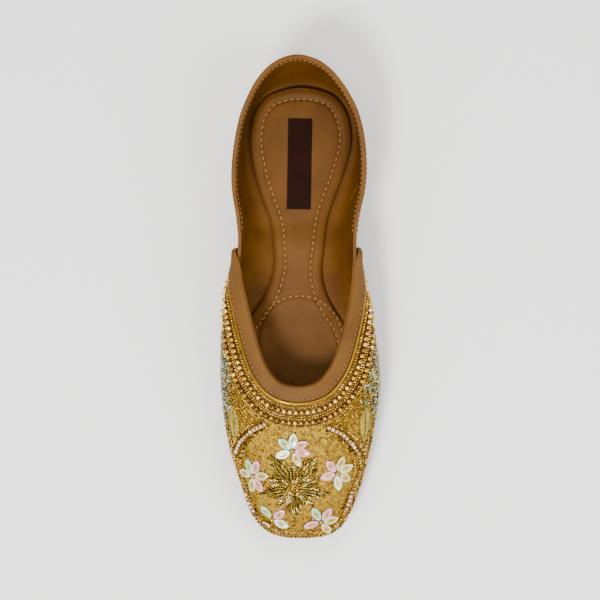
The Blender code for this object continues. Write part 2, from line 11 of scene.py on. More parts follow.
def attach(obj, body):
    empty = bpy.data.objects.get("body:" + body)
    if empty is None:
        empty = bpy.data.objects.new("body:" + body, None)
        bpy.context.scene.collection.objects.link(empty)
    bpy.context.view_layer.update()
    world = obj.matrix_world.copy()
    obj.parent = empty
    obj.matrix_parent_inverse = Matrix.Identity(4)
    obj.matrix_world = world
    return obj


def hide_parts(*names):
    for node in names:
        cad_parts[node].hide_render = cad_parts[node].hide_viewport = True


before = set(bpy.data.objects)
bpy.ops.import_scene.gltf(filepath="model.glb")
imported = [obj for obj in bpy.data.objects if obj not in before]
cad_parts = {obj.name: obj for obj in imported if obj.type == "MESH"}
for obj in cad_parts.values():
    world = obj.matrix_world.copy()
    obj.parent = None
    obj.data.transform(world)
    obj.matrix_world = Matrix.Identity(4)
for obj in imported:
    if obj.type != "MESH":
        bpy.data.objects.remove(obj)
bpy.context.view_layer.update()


# A millimetre, for what is given in millimetres.
MM = 0.001

# Driving sizes.
SHOE_LENGTH = 0.271
BALL_WIDTH = 0.0892
TOP_WIDTH = 0.0752
BACK_HEIGHT = 0.055
RIDGE_HEIGHT = 0.0440
WAIST_RIDGE_HEIGHT = 0.0475

# How far the outsole lies inside the upper's widest outline.
TOE_OVERHANG = 0.005
HEEL_OVERHANG = 0.013
BALL_OVERHANG = 0.0043
SOLE_WAIST_WIDTH = 0.0268
SOLE_HEEL_WIDTH = 0.0628
FEATHER_RIM = 0.0025

# Heights of the outsole.
SOLE_THICKNESS = 0.0035
HEEL_HEIGHT = 0.0098
TOE_SPRING = 0.0042
WAIST_LIFT = 0.0056

# Walls, steps and clearances.
GAP = 0.0003
SEAM_GAP = 0.0007
END_CLEARANCE = 0.00015
VAMP_WALL = 0.0020
QUARTER_WALL = 0.0018
LASTING_MARGIN = 0.0072
BAND_WIDTH = 0.0086
BAND_STEP = 0.0006
BINDING_WIDTH = 0.0038
BINDING_STEP = 0.0005
WING_OVERLAP = 0.030
STEP_RUNOUT = 0.014
INSOLE_LEAD = 0.004

# The insole board with its sock.
INSOLE_THICKNESS = 0.0028
INSOLE_BALL_WIDTH = 0.0785
INSOLE_WAIST_WIDTH = 0.0280
INSOLE_HEEL_WIDTH = 0.0580
INSOLE_TOE_INSET = 0.0060
INSOLE_HEEL_INSET = 0.0008
INSOLE_CROWN = 0.0007

SOLE_LENGTH = SHOE_LENGTH - TOE_OVERHANG - HEEL_OVERHANG
SOLE_BALL_WIDTH = BALL_WIDTH - 2 * BALL_OVERHANG
TOE_END = -SHOE_LENGTH / 2
SOLE_TOE_END = TOE_END + TOE_OVERHANG

Row = namedtuple("Row", "along follows medial lateral")


def rows_of(**parts):
    """Rows of an outline, grouped by the width that they follow."""
    return [Row(along, name, *sides) for name, rows in parts.items() for along, *sides in rows]


def records(kind, *rows):
    return [kind(*row) for row in rows]


# Widest outline of the upper: share of the shoe's length from the toe, and the shares of half the
# width that is named to either side of the axis.
BELLY_ROWS = rows_of(
    ball=(
        (0.000, 0.300, 0.300), (0.018, 0.500, 0.490), (0.050, 0.622, 0.630), (0.117, 0.772, 0.770),
        (0.182, 0.874, 0.890), (0.246, 0.945, 0.962), (0.320, 1.000, 1.000), (0.392, 0.972, 0.998),
        (0.457, 0.910, 0.970), (0.522, 0.842, 0.914),
    ),
    top=(
        (0.572, 0.945, 1.010), (0.617, 0.943, 0.985), (0.680, 0.960, 0.985), (0.727, 0.997, 0.997),
        (0.780, 1.010, 0.985), (0.835, 0.975, 0.925), (0.881, 0.895, 0.840), (0.912, 0.795, 0.745),
        (0.942, 0.660, 0.630), (0.972, 0.475, 0.455), (0.991, 0.270, 0.260), (1.000, 0.000, 0.000),
    ),
)

# Outline of sole and insole, with the same columns. Lengths are shares of the piece's own length.
SOLE_ROWS = rows_of(
    ball=(
        (0.000, 0.330, 0.290), (0.014, 0.525, 0.470), (0.040, 0.625, 0.570), (0.071, 0.715, 0.665),
        (0.105, 0.795, 0.755), (0.174, 0.910, 0.890), (0.225, 0.970, 0.968), (0.274, 1.000, 1.000),
        (0.311, 0.976, 0.995), (0.345, 0.920, 0.970), (0.379, 0.825, 0.935), (0.413, 0.715, 0.865),
    ),
    waist=(
        (0.447, 1.790, 2.300), (0.481, 1.400, 1.860), (0.516, 1.080, 1.480), (0.550, 0.910, 1.230),
        (0.584, 0.875, 1.095), (0.618, 0.950, 1.085),
    ),
    heel=(
        (0.687, 0.525, 0.590), (0.738, 0.660, 0.745), (0.806, 0.870, 0.915), (0.869, 1.000, 1.000),
        (0.909, 0.985, 0.980), (0.943, 0.905, 0.905), (0.977, 0.700, 0.700), (0.994, 0.400, 0.400),
        (1.000, 0.000, 0.000),
    ),
)

# Edge of the throat seen from above, with the same columns. Lengths are shares of the shoe's length.
THROAT_ROWS = rows_of(
    ball=(
        (0.322, 0.000, 0.000), (0.330, 0.230, 0.230), (0.351, 0.360, 0.360), (0.380, 0.460, 0.460),
        (0.444, 0.584, 0.584), (0.496, 0.668, 0.668),
    ),
    top=(
        (0.549, 0.868, 0.885), (0.606, 0.900, 0.925), (0.680, 0.930, 0.940),
    ),
)

# Share of the shoe's length; the heights are shares of the back's height.
Height = namedtuple("Height", "along belly top_line")
HEIGHT_ROWS = records(
    Height,
    (0.00, 0.205, 0.60), (0.20, 0.240, 0.60), (0.32, 0.280, 0.61), (0.45, 0.410, 0.635),
    (0.53, 0.580, 0.66), (0.60, 0.700, 0.69), (0.70, 0.860, 0.725), (0.80, 0.980, 0.785),
    (0.90, 1.090, 0.905), (0.96, 1.120, 0.985), (1.00, 1.130, 1.000),
)

# Share of the sole's length; lift of its underside as a share of toe spring or waist lift.
Lift = namedtuple("Lift", "along spring waist")
LIFT_ROWS = records(
    Lift,
    (0.000, 1.00, 0.0), (0.050, 0.60, 0.0), (0.110, 0.20, 0.0), (0.170, 0.00, 0.0), (0.400, 0.00, 0.0),
    (0.500, 0.00, 0.28), (0.600, 0.00, 0.76), (0.690, 0.00, 1.0), (1.000, 0.00, 1.0),
)
BREAST_SHARE = 0.706
SEAT_SHARE = 0.74
SEAT_START = 0.42

# Where the ribs of the upper fan out from, as shares of the shoe's length, and the part of the
# walk round the outline that lies before each.
TOE_PIVOT = TOE_END + 0.430 * SHOE_LENGTH
HEEL_PIVOT = TOE_END + 0.860 * SHOE_LENGTH
TOE_PART = 0.46
SIDE_PART = 0.83
TOE_FULLNESS = 1.45
SIDE_FULLNESS = 2.25

# Back edge of the wings, as shares of the shoe's length.
WING_TOP = 0.607
WING_FOOT = 0.617
WING_ROUND_START = 0.552
WING_ROUND_DROP = 0.42
CORNER_TRIM = 0.90
UNDER_WING = VAMP_WALL + 3 * GAP
QUARTER_START = WING_TOP - WING_OVERLAP / SHOE_LENGTH

# How the vamp's ribs crowd to its corners and lean back at its foot.
CORNER_BACK = 44
RIB_CROWDING = 0.12
FOOT_REACH = 0.35


def between(t, low, high, a, b):
    """What lies at t on the line from a at low to b at high."""
    return (high - t) / (high - low) * a + (t - low) / (high - low) * b


def smooth_closed(points, per_span):
    """A closed curve through the points, with more points between them (centripetal spans)."""
    points = np.asarray(points, float)
    count = len(points)
    curve = []
    for i in range(count):
        p0, p1, p2, p3 = (points[(i + k) % count] for k in (-1, 0, 1, 2))
        t1 = np.linalg.norm(p1 - p0) ** 0.5
        t2 = t1 + np.linalg.norm(p2 - p1) ** 0.5
        t3 = t2 + np.linalg.norm(p3 - p2) ** 0.5
        for t in np.linspace(t1, t2, per_span, endpoint=False):
            a1 = between(t, 0.0, t1, p0, p1)
            a2 = between(t, t1, t2, p1, p2)
            a3 = between(t, t2, t3, p2, p3)
            b1 = between(t, 0.0, t2, a1, a2)
            b2 = between(t, t1, t3, a2, a3)
            curve.append(between(t, t1, t2, b1, b2))
    return np.array(curve)


def outline_points(rows, widths, start, length):
    """The rows as points in plan, down the medial side and back up the lateral one."""
    medial = [(row.medial * widths[row.follows] / 2, start + row.along * length) for row in rows]
    lateral = [(-row.lateral * widths[row.follows] / 2, start + row.along * length) for row in rows]
    return [p for p in medial if p[0] > 0] + [p for p in lateral[::-1] if p[0] <= 0]


def offset_outline(curve, distance):
    """The closed curve moved outward by the distance."""
    along = np.roll(curve, -1, axis=0) - np.roll(curve, 1, axis=0)
    along /= np.linalg.norm(along, axis=1)[:, None]
    outward = np.column_stack([along[:, 1], -along[:, 0]])
    if ((curve - curve.mean(axis=0)) * outward).sum() < 0:
        outward = -outward
    return curve + outward * distance


FAN_OVERLAP = 0.002


class Outline:
    """A closed curve in plan, asked how far it lies from the axis along many ribs at once."""

    def __init__(self, curve):
        self.curve = curve
        self.toe = self.fan(TOE_PIVOT, -1)
        self.heel = self.fan(HEEL_PIVOT, 1)
        self.sides = {}
        for side in (1, -1):
            half = curve[curve[:, 0] * side > 0]
            half = half[np.argsort(half[:, 1])]
            self.sides[side] = half[:, 1], abs(half[:, 0])

    def fan(self, pivot, way):
        """Angles and distances of the points beyond a pivot, towards the toe (-1) or the heel (1)."""
        x, y = self.curve[:, 0], (self.curve[:, 1] - pivot) * way
        beyond = y > -FAN_OVERLAP
        angle = np.arctan2(x, y)[beyond]
        order = np.argsort(angle)
        return angle[order], np.hypot(x, y)[beyond][order]

    def half_width(self, y, side):
        return np.interp(y, *self.sides[side])

    def reach(self, rib):
        beside = np.where(rib.side > 0, self.half_width(rib.y, 1), self.half_width(rib.y, -1))
        toe = np.interp(rib.angle, *self.toe)
        heel = np.interp(rib.angle, *self.heel) if len(self.heel[0]) else 0.0
        return np.where(rib.zone == 0, toe, np.where(rib.zone == 2, heel, beside))


Rib = namedtuple("Rib", "zone y angle side dx dy")


def rib_at(walk):
    """Ribs at shares of the walk round the shoe: 0 at the toe, 1 at the heel, medial positive."""
    walk = np.asarray(walk, float)
    walk = np.where(walk > 1, walk - 2, walk)
    side = np.where(walk >= 0, 1.0, -1.0)
    part = abs(walk)
    toe = side * math.pi / 2 * part / TOE_PART
    heel = side * math.pi / 2 * (1 - part) / (1 - SIDE_PART)
    zone = np.where(part <= TOE_PART, 0, np.where(part < SIDE_PART, 1, 2))
    y = np.interp(part, (TOE_PART, SIDE_PART), (TOE_PIVOT, HEEL_PIVOT))
    angle = np.where(zone == 0, toe, np.where(zone == 2, heel, 0.0))
    dx = np.where(zone == 1, side, np.sin(angle))
    dy = np.where(zone == 0, -np.cos(angle), np.where(zone == 2, np.cos(angle), 0.0))
    return Rib(zone, y, angle, side, dx, dy)


def walk_at(share):
    """The share of the walk at which a rib of the side crosses this share of the shoe's length."""
    y = TOE_END + share * SHOE_LENGTH
    return float(np.interp(y, (TOE_PIVOT, HEEL_PIVOT), (TOE_PART, SIDE_PART)))


def ease(value, low, high):
    t = np.clip((value - low) / (high - low), 0.0, 1.0)
    return t * t * (3 - 2 * t)


def smooth_rows(rows, name, at):
    """Monotone cubic through a table's column."""
    x = np.array([row.along for row in rows])
    v = np.array([getattr(row, name) for row in rows])
    step = np.diff(v) / np.diff(x)
    slope = np.concatenate([[0.0], (step[1:] + step[:-1]) / 2, [0.0]])
    slope[1:-1][step[1:] * step[:-1] <= 0] = 0
    most = 3 * np.minimum(abs(step[1:]), abs(step[:-1]))
    slope[1:-1] = np.clip(slope[1:-1], -most, most)
    at = np.clip(at, x[0], x[-1])
    i = np.clip(np.searchsorted(x, at, side="right") - 1, 0, len(x) - 2)
    h = x[i + 1] - x[i]
    t = (at - x[i]) / h
    return (
        (2 * t**3 - 3 * t**2 + 1) * v[i]
        + (t**3 - 2 * t**2 + t) * h * slope[i]
        + (3 * t**2 - 2 * t**3) * v[i + 1]
        + (t**3 - t**2) * h * slope[i + 1]
    )


def sole_share(y):
    return (y - SOLE_TOE_END) / SOLE_LENGTH


def shoe_share(y):
    return (y - TOE_END) / SHOE_LENGTH


def sole_underside(y):
    share = sole_share(y)
    spring = smooth_rows(LIFT_ROWS, "spring", share)
    return spring * TOE_SPRING + smooth_rows(LIFT_ROWS, "waist", share) * WAIST_LIFT


def sole_top(y):
    """Height of the outsole's upper face, on which upper and insole are set."""
    share = sole_share(y)
    seat = ease(share, SEAT_START, SEAT_SHARE) * (HEEL_HEIGHT - SOLE_THICKNESS)
    return SOLE_THICKNESS + smooth_rows(LIFT_ROWS, "spring", share) * TOE_SPRING + seat


SHOE_WIDTHS = {"ball": BALL_WIDTH, "top": TOP_WIDTH}
SOLE_WIDTHS = {"ball": SOLE_BALL_WIDTH, "waist": SOLE_WAIST_WIDTH, "heel": SOLE_HEEL_WIDTH}
INSOLE_WIDTHS = {"ball": INSOLE_BALL_WIDTH, "waist": INSOLE_WAIST_WIDTH, "heel": INSOLE_HEEL_WIDTH}
SPAN_POINTS = 12
INSOLE_LENGTH = SOLE_LENGTH - INSOLE_TOE_INSET - INSOLE_HEEL_INSET


def outline_of(rows, widths, start, length):
    return Outline(smooth_closed(outline_points(rows, widths, start, length), SPAN_POINTS))


SOLE = outline_of(SOLE_ROWS, SOLE_WIDTHS, SOLE_TOE_END, SOLE_LENGTH)
BELLY = outline_of(BELLY_ROWS, SHOE_WIDTHS, TOE_END, SHOE_LENGTH)
FEATHER = Outline(offset_outline(SOLE.curve, FEATHER_RIM))
THROAT = outline_of(THROAT_ROWS, SHOE_WIDTHS, TOE_END, SHOE_LENGTH)
INSOLE = outline_of(SOLE_ROWS, INSOLE_WIDTHS, SOLE_TOE_END + INSOLE_TOE_INSET, INSOLE_LENGTH)


RIDGE_RISE = (0.42, 0.60)
RIDGE_CLEAR = 0.004


def rib_sizes(rib, inset):
    """Radii and heights of ribs whose surface lies this far inside the upper's own."""
    belly = BELLY.reach(rib)
    share = shoe_share(rib.y + belly * rib.dy)
    height = BACK_HEIGHT * smooth_rows(HEIGHT_ROWS, "belly", share)
    ridge = RIDGE_HEIGHT + (WAIST_RIDGE_HEIGHT - RIDGE_HEIGHT) * ease(share, *RIDGE_RISE)
    ridge = np.maximum(ridge, height + RIDGE_CLEAR)
    side = np.where(rib.zone == 0, rib.dx**2, 1.0)
    fullness = TOE_FULLNESS + (SIDE_FULLNESS - TOE_FULLNESS) * side
    return belly - inset, height, ridge - inset, fullness


def upper_point(walk, level, inset):
    """Points of the upper's own surface, moved in by the inset.

    level -1 is the inner edge of the lasting margin under the foot, 0 the feather edge,
    1 the widest line and 2 the ridge over the foot.
    """
    walk, level, inset = np.broadcast_arrays(*(np.asarray(v, float) for v in (walk, level, inset)))
    rib = rib_at(walk)
    feather = FEATHER.reach(rib)
    belly, height, ridge, fullness = rib_sizes(rib, inset)
    foot = sole_top(rib.y + feather * rib.dy) + GAP + inset
    low_out = feather - inset + level * (LASTING_MARGIN - inset)
    low_z = sole_top(rib.y + low_out * rib.dy) + GAP + inset
    angle = np.clip(level, 0, 1) * math.pi / 2
    mid_out = feather - inset + (belly - feather + inset) * np.sin(angle)
    mid_z = foot + (height - foot) * (1 - np.cos(angle))
    angle = np.clip(level - 1, 0, 1) * math.pi / 2
    high_out = belly * np.maximum(np.cos(angle), 0.0) ** (2 / fullness)
    high_z = height + (ridge - height) * np.sin(angle)
    out = np.where(level <= 0, low_out, np.where(level <= 1, mid_out, high_out))
    z = np.where(level <= 0, low_z, np.where(level <= 1, mid_z, high_z))
    return np.stack([rib.dx * out, rib.y + rib.dy * out, z], axis=-1)


def level_at_height(walk, z, inset):
    """The level at which ribs pass this height."""
    rib = rib_at(walk)
    _, height, ridge, _ = rib_sizes(rib, inset)
    foot = sole_top(rib.y + FEATHER.reach(rib) * rib.dy) + GAP + inset
    below = np.arccos(np.clip(1 - (z - foot) / (height - foot), -1, 1)) * 2 / math.pi
    above = 1 + np.arcsin(np.clip((z - height) / (ridge - height), 0, 1)) * 2 / math.pi
    return np.where(z <= height, below, above)


# The largest share of the belly's reach at which a point counts as above the widest line.
MOST_REACH = 0.9999


def throat_level(walk):
    """The level at which ribs meet the edge of the throat."""
    rib = rib_at(walk)
    belly, _, _, fullness = rib_sizes(rib, 0.0)
    reach = np.minimum(THROAT.reach(rib) / belly, MOST_REACH)
    return 1 + np.arccos(reach ** (fullness / 2)) * 2 / math.pi


# Points of the edge along the throat, round the wing's corner, down its back and under the foot.
EDGE_POINTS = (80, 16, 30, 8)


def wing_edge(side):
    """Edge of the vamp from the middle of the throat to the feather under one wing."""
    along_throat, round_corner, down_back, under_foot = EDGE_POINTS
    walks = side * np.linspace(0.0, walk_at(WING_ROUND_START), along_throat)
    if side < 0:
        walks[0] = -1e-9
    along = list(np.column_stack([walks, throat_level(walks)]))
    start = along[-1]
    corner_walk = side * walk_at(WING_TOP)
    corner = np.array([corner_walk, float(throat_level(corner_walk))])
    foot = np.array([side * walk_at(WING_FOOT), 0.0])
    turn = corner + (foot - corner) * WING_ROUND_DROP
    for t in np.linspace(0, 1, round_corner)[1:]:
        along.append((1 - t) ** 2 * start + 2 * t * (1 - t) * corner + t**2 * turn)
    for t in np.linspace(0, 1, down_back)[1:]:
        along.append(turn + (foot - turn) * t)
    under = np.array([foot[0], -1.0])
    for t in np.linspace(0, 1, under_foot)[1:]:
        along.append(foot + (under - foot) * t)
    return np.array(along)


def unit(vectors):
    return vectors / np.maximum(np.linalg.norm(vectors, axis=-1, keepdims=True), 1e-12)


# Small steps along walk and level, to feel the surface's slope.
WALK_STEP = 1e-4
LEVEL_STEP = 1e-3


def surface_frame(walk, level, inset=0.0):
    """Points of the surface with the unit directions along the walk, up the rib and outward."""
    here = upper_point(walk, level, inset)
    ahead = upper_point(walk + WALK_STEP, level, inset) - here
    up = upper_point(walk, level + LEVEL_STEP, inset) - here
    out = unit(np.cross(ahead, up))
    along = unit(ahead)
    return here, along, np.cross(out, along), out


def step_on_surface(walk, level, direction, distance, steps=8):
    """Walks over the upper from each point, straight on in its direction."""
    stride = (np.zeros_like(walk) + distance) / steps
    for _ in range(steps):
        here = upper_point(walk, level, 0.0)
        d_walk = (upper_point(walk + WALK_STEP, level, 0.0) - here) / WALK_STEP
        d_level = (upper_point(walk, level + LEVEL_STEP, 0.0) - here) / LEVEL_STEP
        pairs = (d_walk, d_walk), (d_walk, d_level), (d_level, d_level)
        ww, wl, ll = ((a * b).sum(-1) for a, b in pairs)
        pw, pl = (direction * d_walk).sum(-1), (direction * d_level).sum(-1)
        spread = np.maximum(ww * ll - wl**2, 1e-18)
        by_walk, by_level = (pw * ll - pl * wl) / spread, (pl * ww - pw * wl) / spread
        move = d_walk * by_walk[:, None] + d_level * by_level[:, None]
        length = np.maximum(np.linalg.norm(move, axis=-1), 1e-9)
        walk, level = walk + by_walk * stride / length, level + by_level * stride / length
        direction = move / length[:, None]
    return walk, level


def places_of(curve):
    """Points of the upper's own surface along a curve of walks and levels."""
    return upper_point(*curve.T, 0.0)


def inward_curve(edge, distance):
    """The edge's curve, moved over the surface away from the opening."""
    metres = places_of(edge)
    tangent = unit(np.gradient(metres, axis=0))
    _, _, _, normal = surface_frame(*edge.T)
    inward = np.cross(tangent, normal)
    moved = np.column_stack(step_on_surface(*edge.T, inward, distance))
    return closed_up(moved, metres, abs(distance))


def closed_up(moved, edge_metres, distance):
    """The moved curve with the stretch that crosses itself inside a corner drawn together."""
    metres = places_of(moved)
    near = np.linalg.norm(metres[:, None] - edge_metres[None], axis=2).min(axis=1)
    kept = np.flatnonzero(near > CORNER_TRIM * distance)
    kept = np.union1d(kept, [0, len(moved) - 1])
    gathered = moved.copy()
    for before, after in zip(kept, kept[1:]):
        if after - before > 1:
            gathered[before + 1 : after] = (moved[before] + moved[after]) / 2
    return gathered


EDGE = np.vstack([wing_edge(-1)[::-1], wing_edge(1)[1:]])


def quarter_inset(share):
    """How far the quarter lies inside the upper's own surface: under the wings, then out to it."""
    return UNDER_WING * (1 - ease(share, WING_FOOT, WING_FOOT + STEP_RUNOUT / SHOE_LENGTH))


def insole_base(y):
    """Height of the insole's underside, on the lasting margins of vamp and quarter."""
    share = shoe_share(y)
    back = QUARTER_START - INSOLE_LEAD / SHOE_LENGTH
    front = back - STEP_RUNOUT / SHOE_LENGTH
    with_quarter = quarter_inset(share) + QUARTER_WALL
    return sole_top(y) + 3 * GAP + VAMP_WALL + (with_quarter - VAMP_WALL) * ease(share, front, back)


def back_share(walk):
    rib = rib_at(walk)
    return shoe_share(rib.y + BELLY.reach(rib) * rib.dy)


def top_line(walk):
    """Height of the quarter's top edge."""
    return BACK_HEIGHT * smooth_rows(HEIGHT_ROWS, "top_line", back_share(walk))


def linear(red, green, blue):
    """A colour given as 0 to 255 on screen, as the shader takes it."""
    shares = [v / 255 for v in (red, green, blue)]
    return tuple(s / 12.92 if s <= 0.04045 else ((s + 0.055) / 1.055) ** 2.4 for s in shares) + (1.0,)


def new_material(name, colour, roughness, metallic=0.0, **sockets):
    made = bpy.data.materials.new(name)
    made.use_nodes = True
    shader = made.node_tree.nodes["Principled BSDF"]
    shader.inputs["Base Color"].default_value = colour
    shader.inputs["Roughness"].default_value = roughness
    shader.inputs["Metallic"].default_value = metallic
    for socket, value in sockets.items():
        shader.inputs[socket.replace("_", " ")].default_value = value
    made.diffuse_color = colour
    return made


def new_object(name, vertices, faces, materials, face_material=None):
    """A mesh object from plain lists."""
    mesh = bpy.data.meshes.new(name)
    mesh.from_pydata([tuple(map(float, v)) for v in vertices], [], [tuple(map(int, f)) for f in faces])
    for finish in materials:
        mesh.materials.append(finish)
    if face_material is not None:
        mesh.polygons.foreach_set("material_index", np.asarray(face_material, np.int32))
    mesh.polygons.foreach_set("use_smooth", np.full(len(mesh.polygons), True))
    mesh.update()
    made = bpy.data.objects.new(name, mesh)
    bpy.context.scene.collection.objects.link(made)
    return made


def shell(name, rings, outer_count, materials, margin_count=0):
    """A closed loft: the first points of each ring carry the first material, the others the second.

    The very first of them, up to the margin's count, carry the third.
    """
    rings = np.asarray(rings)
    count = rings.shape[1]
    vertices = rings.reshape(-1, 3)
    faces, finish = [], []
    for i in range(len(rings) - 1):
        for j in range(count):
            k = (j + 1) % count
            faces.append((i * count + j, i * count + k, (i + 1) * count + k, (i + 1) * count + j))
            outside = 2 if j < margin_count else 0
            finish.append(outside if j < outer_count - 1 or j == count - 1 else 1)
    last = (len(rings) - 1) * count
    faces.append(tuple(range(count))[::-1])
    faces.append(tuple(range(last, last + count)))
    finish += [0, 0]
    return facing_out(new_object(name, vertices, faces, materials, finish))


SHARP_ANGLE = math.radians(50)


def facing_out(made):
    """Turns a closed mesh's faces outward and keeps its folded edges sharp."""
    mesh = made.data
    mesh.calc_loop_triangles()
    points = np.empty(len(mesh.vertices) * 3)
    mesh.vertices.foreach_get("co", points)
    triangles = np.empty(len(mesh.loop_triangles) * 3, np.int32)
    mesh.loop_triangles.foreach_get("vertices", triangles)
    volume = np.linalg.det(points.reshape(-1, 3)[triangles.reshape(-1, 3)]).sum()
    if volume < 0:
        mesh.flip_normals()
    mesh.set_sharp_from_angle(angle=SHARP_ANGLE)
    return made


def place(piece, slot, *nodes):
    """Sets a finished piece on the shoe's body and hides the solids it stands for. Its slot is not used."""
    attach(piece, "root")
    if nodes:
        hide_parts(*nodes)
    return piece


def outlet_of(material, kind, outlet, **inputs):
    """The outlet of a new shader node, each input set to a value or linked to another's outlet."""
    tree = material.node_tree
    node = tree.nodes.new(kind)
    for name, value in inputs.items():
        if isinstance(value, bpy.types.NodeSocket):
            tree.links.new(value, node.inputs[name])
        else:
            node.inputs[name].default_value = value
    return node.outputs[outlet]


def to_shader(material, outlet, socket):
    shader = material.node_tree.nodes["Principled BSDF"]
    material.node_tree.links.new(outlet, shader.inputs[socket])
    return material


def texture_of(material, kind, outlet, **inputs):
    """A texture over the piece's own coordinates, in features per metre."""
    spot = outlet_of(material, "ShaderNodeTexCoord", "Object")
    return outlet_of(material, kind, outlet, Vector=spot, **inputs)


def mottled(material, dark, light, scale, low=0.35, high=0.65, detail=3.0):
    """Base colour that drifts between two tones."""
    noise = texture_of(material, "ShaderNodeTexNoise", "Fac", Scale=scale, Detail=detail)
    colour = outlet_of(material, "ShaderNodeValToRGB", "Color", Fac=noise)
    for element, spot, tone in zip(colour.node.color_ramp.elements, (low, high), (dark, light)):
        element.position = spot
        element.color = linear(*tone)
    return to_shader(material, colour, "Base Color")


def bumped(material, height, strength, depth, sunk=False):
    """Relief in the shader: what is high stands out, or lies sunk."""
    inputs = {"Strength": strength, "Distance": depth, "Height": height}
    normal = outlet_of(material, "ShaderNodeBump", "Normal", **inputs)
    normal.node.invert = sunk
    return to_shader(material, normal, "Normal")


def grained(material, scale, strength, depth=0.0002, cells=False):
    """Fine relief: pebbled grain from noise, or the knots of a woven cloth from cells."""
    if cells:
        height = texture_of(material, "ShaderNodeTexVoronoi", "Distance", Scale=scale)
    else:
        height = texture_of(material, "ShaderNodeTexNoise", "Fac", Scale=scale, Detail=4.0)
    return bumped(material, height, strength, depth)


def leather(name, dark, light, roughness, metallic=0.0, grain=0.35, gloss=0.35):
    made = new_material(name, linear(*light), roughness, metallic, Specular_IOR_Level=gloss)
    return grained(mottled(made, dark, light, 60), 1500, grain)


GOLD_CLOTH = new_material("gold_zari_cloth", linear(140, 104, 20), 0.42, 0.6)
grained(mottled(GOLD_CLOTH, (116, 82, 2), (168, 132, 8), 420, 0.36, 0.64, 6.0), 1150, 0.8, 0.0004, True)
GOLD_FOIL = leather("gold_foil_leather", (140, 112, 8), (160, 133, 18), 0.33, 0.6, gloss=0.3)
LINING = leather("tan_lining", (80, 46, 6), (92, 56, 9), 0.62, gloss=0.1)
BAND_TAN = leather("band_tan_leather", (88, 56, 16), (100, 66, 22), 0.58, gloss=0.14)
BINDING_TAN = leather("binding_tan_leather", (92, 56, 16), (102, 65, 20), 0.58, gloss=0.14)
SOCK = leather("tan_sock_leather", (84, 50, 9), (94, 58, 13), 0.58, gloss=0.14)

VAMP_RIB_COUNT = 150
SMOOTH_MARGIN = 0.22
MARGIN_LEVELS = np.linspace(-1, 0, 7)[:-1]
VAMP_LEVELS = np.concatenate([MARGIN_LEVELS, np.linspace(0, 1, 46)])
QUARTER_RIB_COUNT = 260
WALL_LEVELS = 40
TOP_RUNOUT = 0.038

# A crease runs from one walk and level to another. Its width and depth are in millimetres, and a
# depth below zero is a ridge.
Crease = namedtuple("Crease", "walk level walk_to level_to width depth")
VAMP_CREASES = records(
    Crease,
    (-0.36, 1.12, -0.52, 0.95, 3.2, 0.45), (-0.38, 1.06, -0.54, 0.82, 2.4, -0.30),
    (0.37, 1.10, 0.53, 0.92, 3.0, 0.42), (0.40, 1.03, 0.55, 0.80, 2.4, -0.28),
    (-0.22, 0.75, -0.30, 0.35, 2.6, 0.35), (0.24, 0.72, 0.31, 0.33, 2.6, 0.32),
    (-0.10, 1.30, 0.09, 1.27, 4.5, 0.30), (-0.07, 1.62, 0.08, 1.60, 4.0, 0.22),
)
QUARTER_CREASES = records(
    Crease,
    (0.70, 0.95, 0.76, 0.40, 3.0, 0.50), (0.72, 0.98, 0.79, 0.48, 2.4, -0.35),
    (-0.70, 0.94, -0.77, 0.42, 3.0, 0.50), (-0.73, 0.97, -0.80, 0.50, 2.4, -0.35),
    (0.86, 0.80, 0.93, 0.62, 2.8, 0.35), (-0.85, 0.82, -0.94, 0.66, 2.8, 0.35),
    (0.90, 0.45, 0.99, 0.38, 3.2, 0.30), (-0.91, 0.42, -0.98, 0.34, 3.2, 0.28),
    (0.66, 0.30, 0.78, 0.22, 2.8, 0.30), (-0.67, 0.28, -0.79, 0.24, 2.8, 0.30),
)
LINING_CREASES = records(
    Crease,
    (0.66, 0.95, 0.72, 0.40, 1.3, 1.15), (0.69, 0.92, 0.735, 0.42, 1.4, -0.50),
    (0.735, 0.55, 0.70, 0.28, 1.2, 1.0), (-0.65, 0.92, -0.71, 0.38, 1.3, 1.15),
    (-0.685, 0.95, -0.73, 0.40, 1.4, -0.50), (-0.74, 0.60, -0.70, 0.30, 1.2, 1.0),
    (-0.80, 0.80, -0.88, 0.55, 1.6, 0.8), (0.82, 0.82, 0.90, 0.60, 1.6, 0.8),
)
WALK_LENGTH = 0.30
LEVEL_LENGTH = 0.045
PUCKER_DEPTH = 0.00014
PUCKER_REACH = 0.22
QUILT_DEPTH = 0.00010


def creased(walk, level, creases):
    """Depth of the creases at each point, as soft troughs and ridges with tapered ends."""
    walk = np.where(walk > 1, walk - 2, walk)
    here = np.stack([walk * WALK_LENGTH, level * LEVEL_LENGTH], axis=-1)
    depth = np.zeros_like(walk)
    for crease in creases:
        start = np.array([crease.walk * WALK_LENGTH, crease.level * LEVEL_LENGTH])
        line = np.array([crease.walk_to * WALK_LENGTH, crease.level_to * LEVEL_LENGTH]) - start
        share = np.clip(((here - start) @ line) / (line @ line), 0, 1)
        away = np.linalg.norm(here - start - share[..., None] * line, axis=-1)
        taper = 0.35 + 0.65 * np.sin(math.pi * share)
        depth += crease.depth / 1000 * taper * np.exp(-((away * 1000 / crease.width) ** 2))
    return depth


def lasting_puckers(walk, level):
    """The small pleats of a lasted upper, dying out a little above the feather."""
    wave = np.sin(walk * 173) + 0.6 * np.sin(walk * 97 + 1.3)
    return PUCKER_DEPTH * wave * np.exp(-((level / PUCKER_REACH) ** 2)) * (level > -0.3)


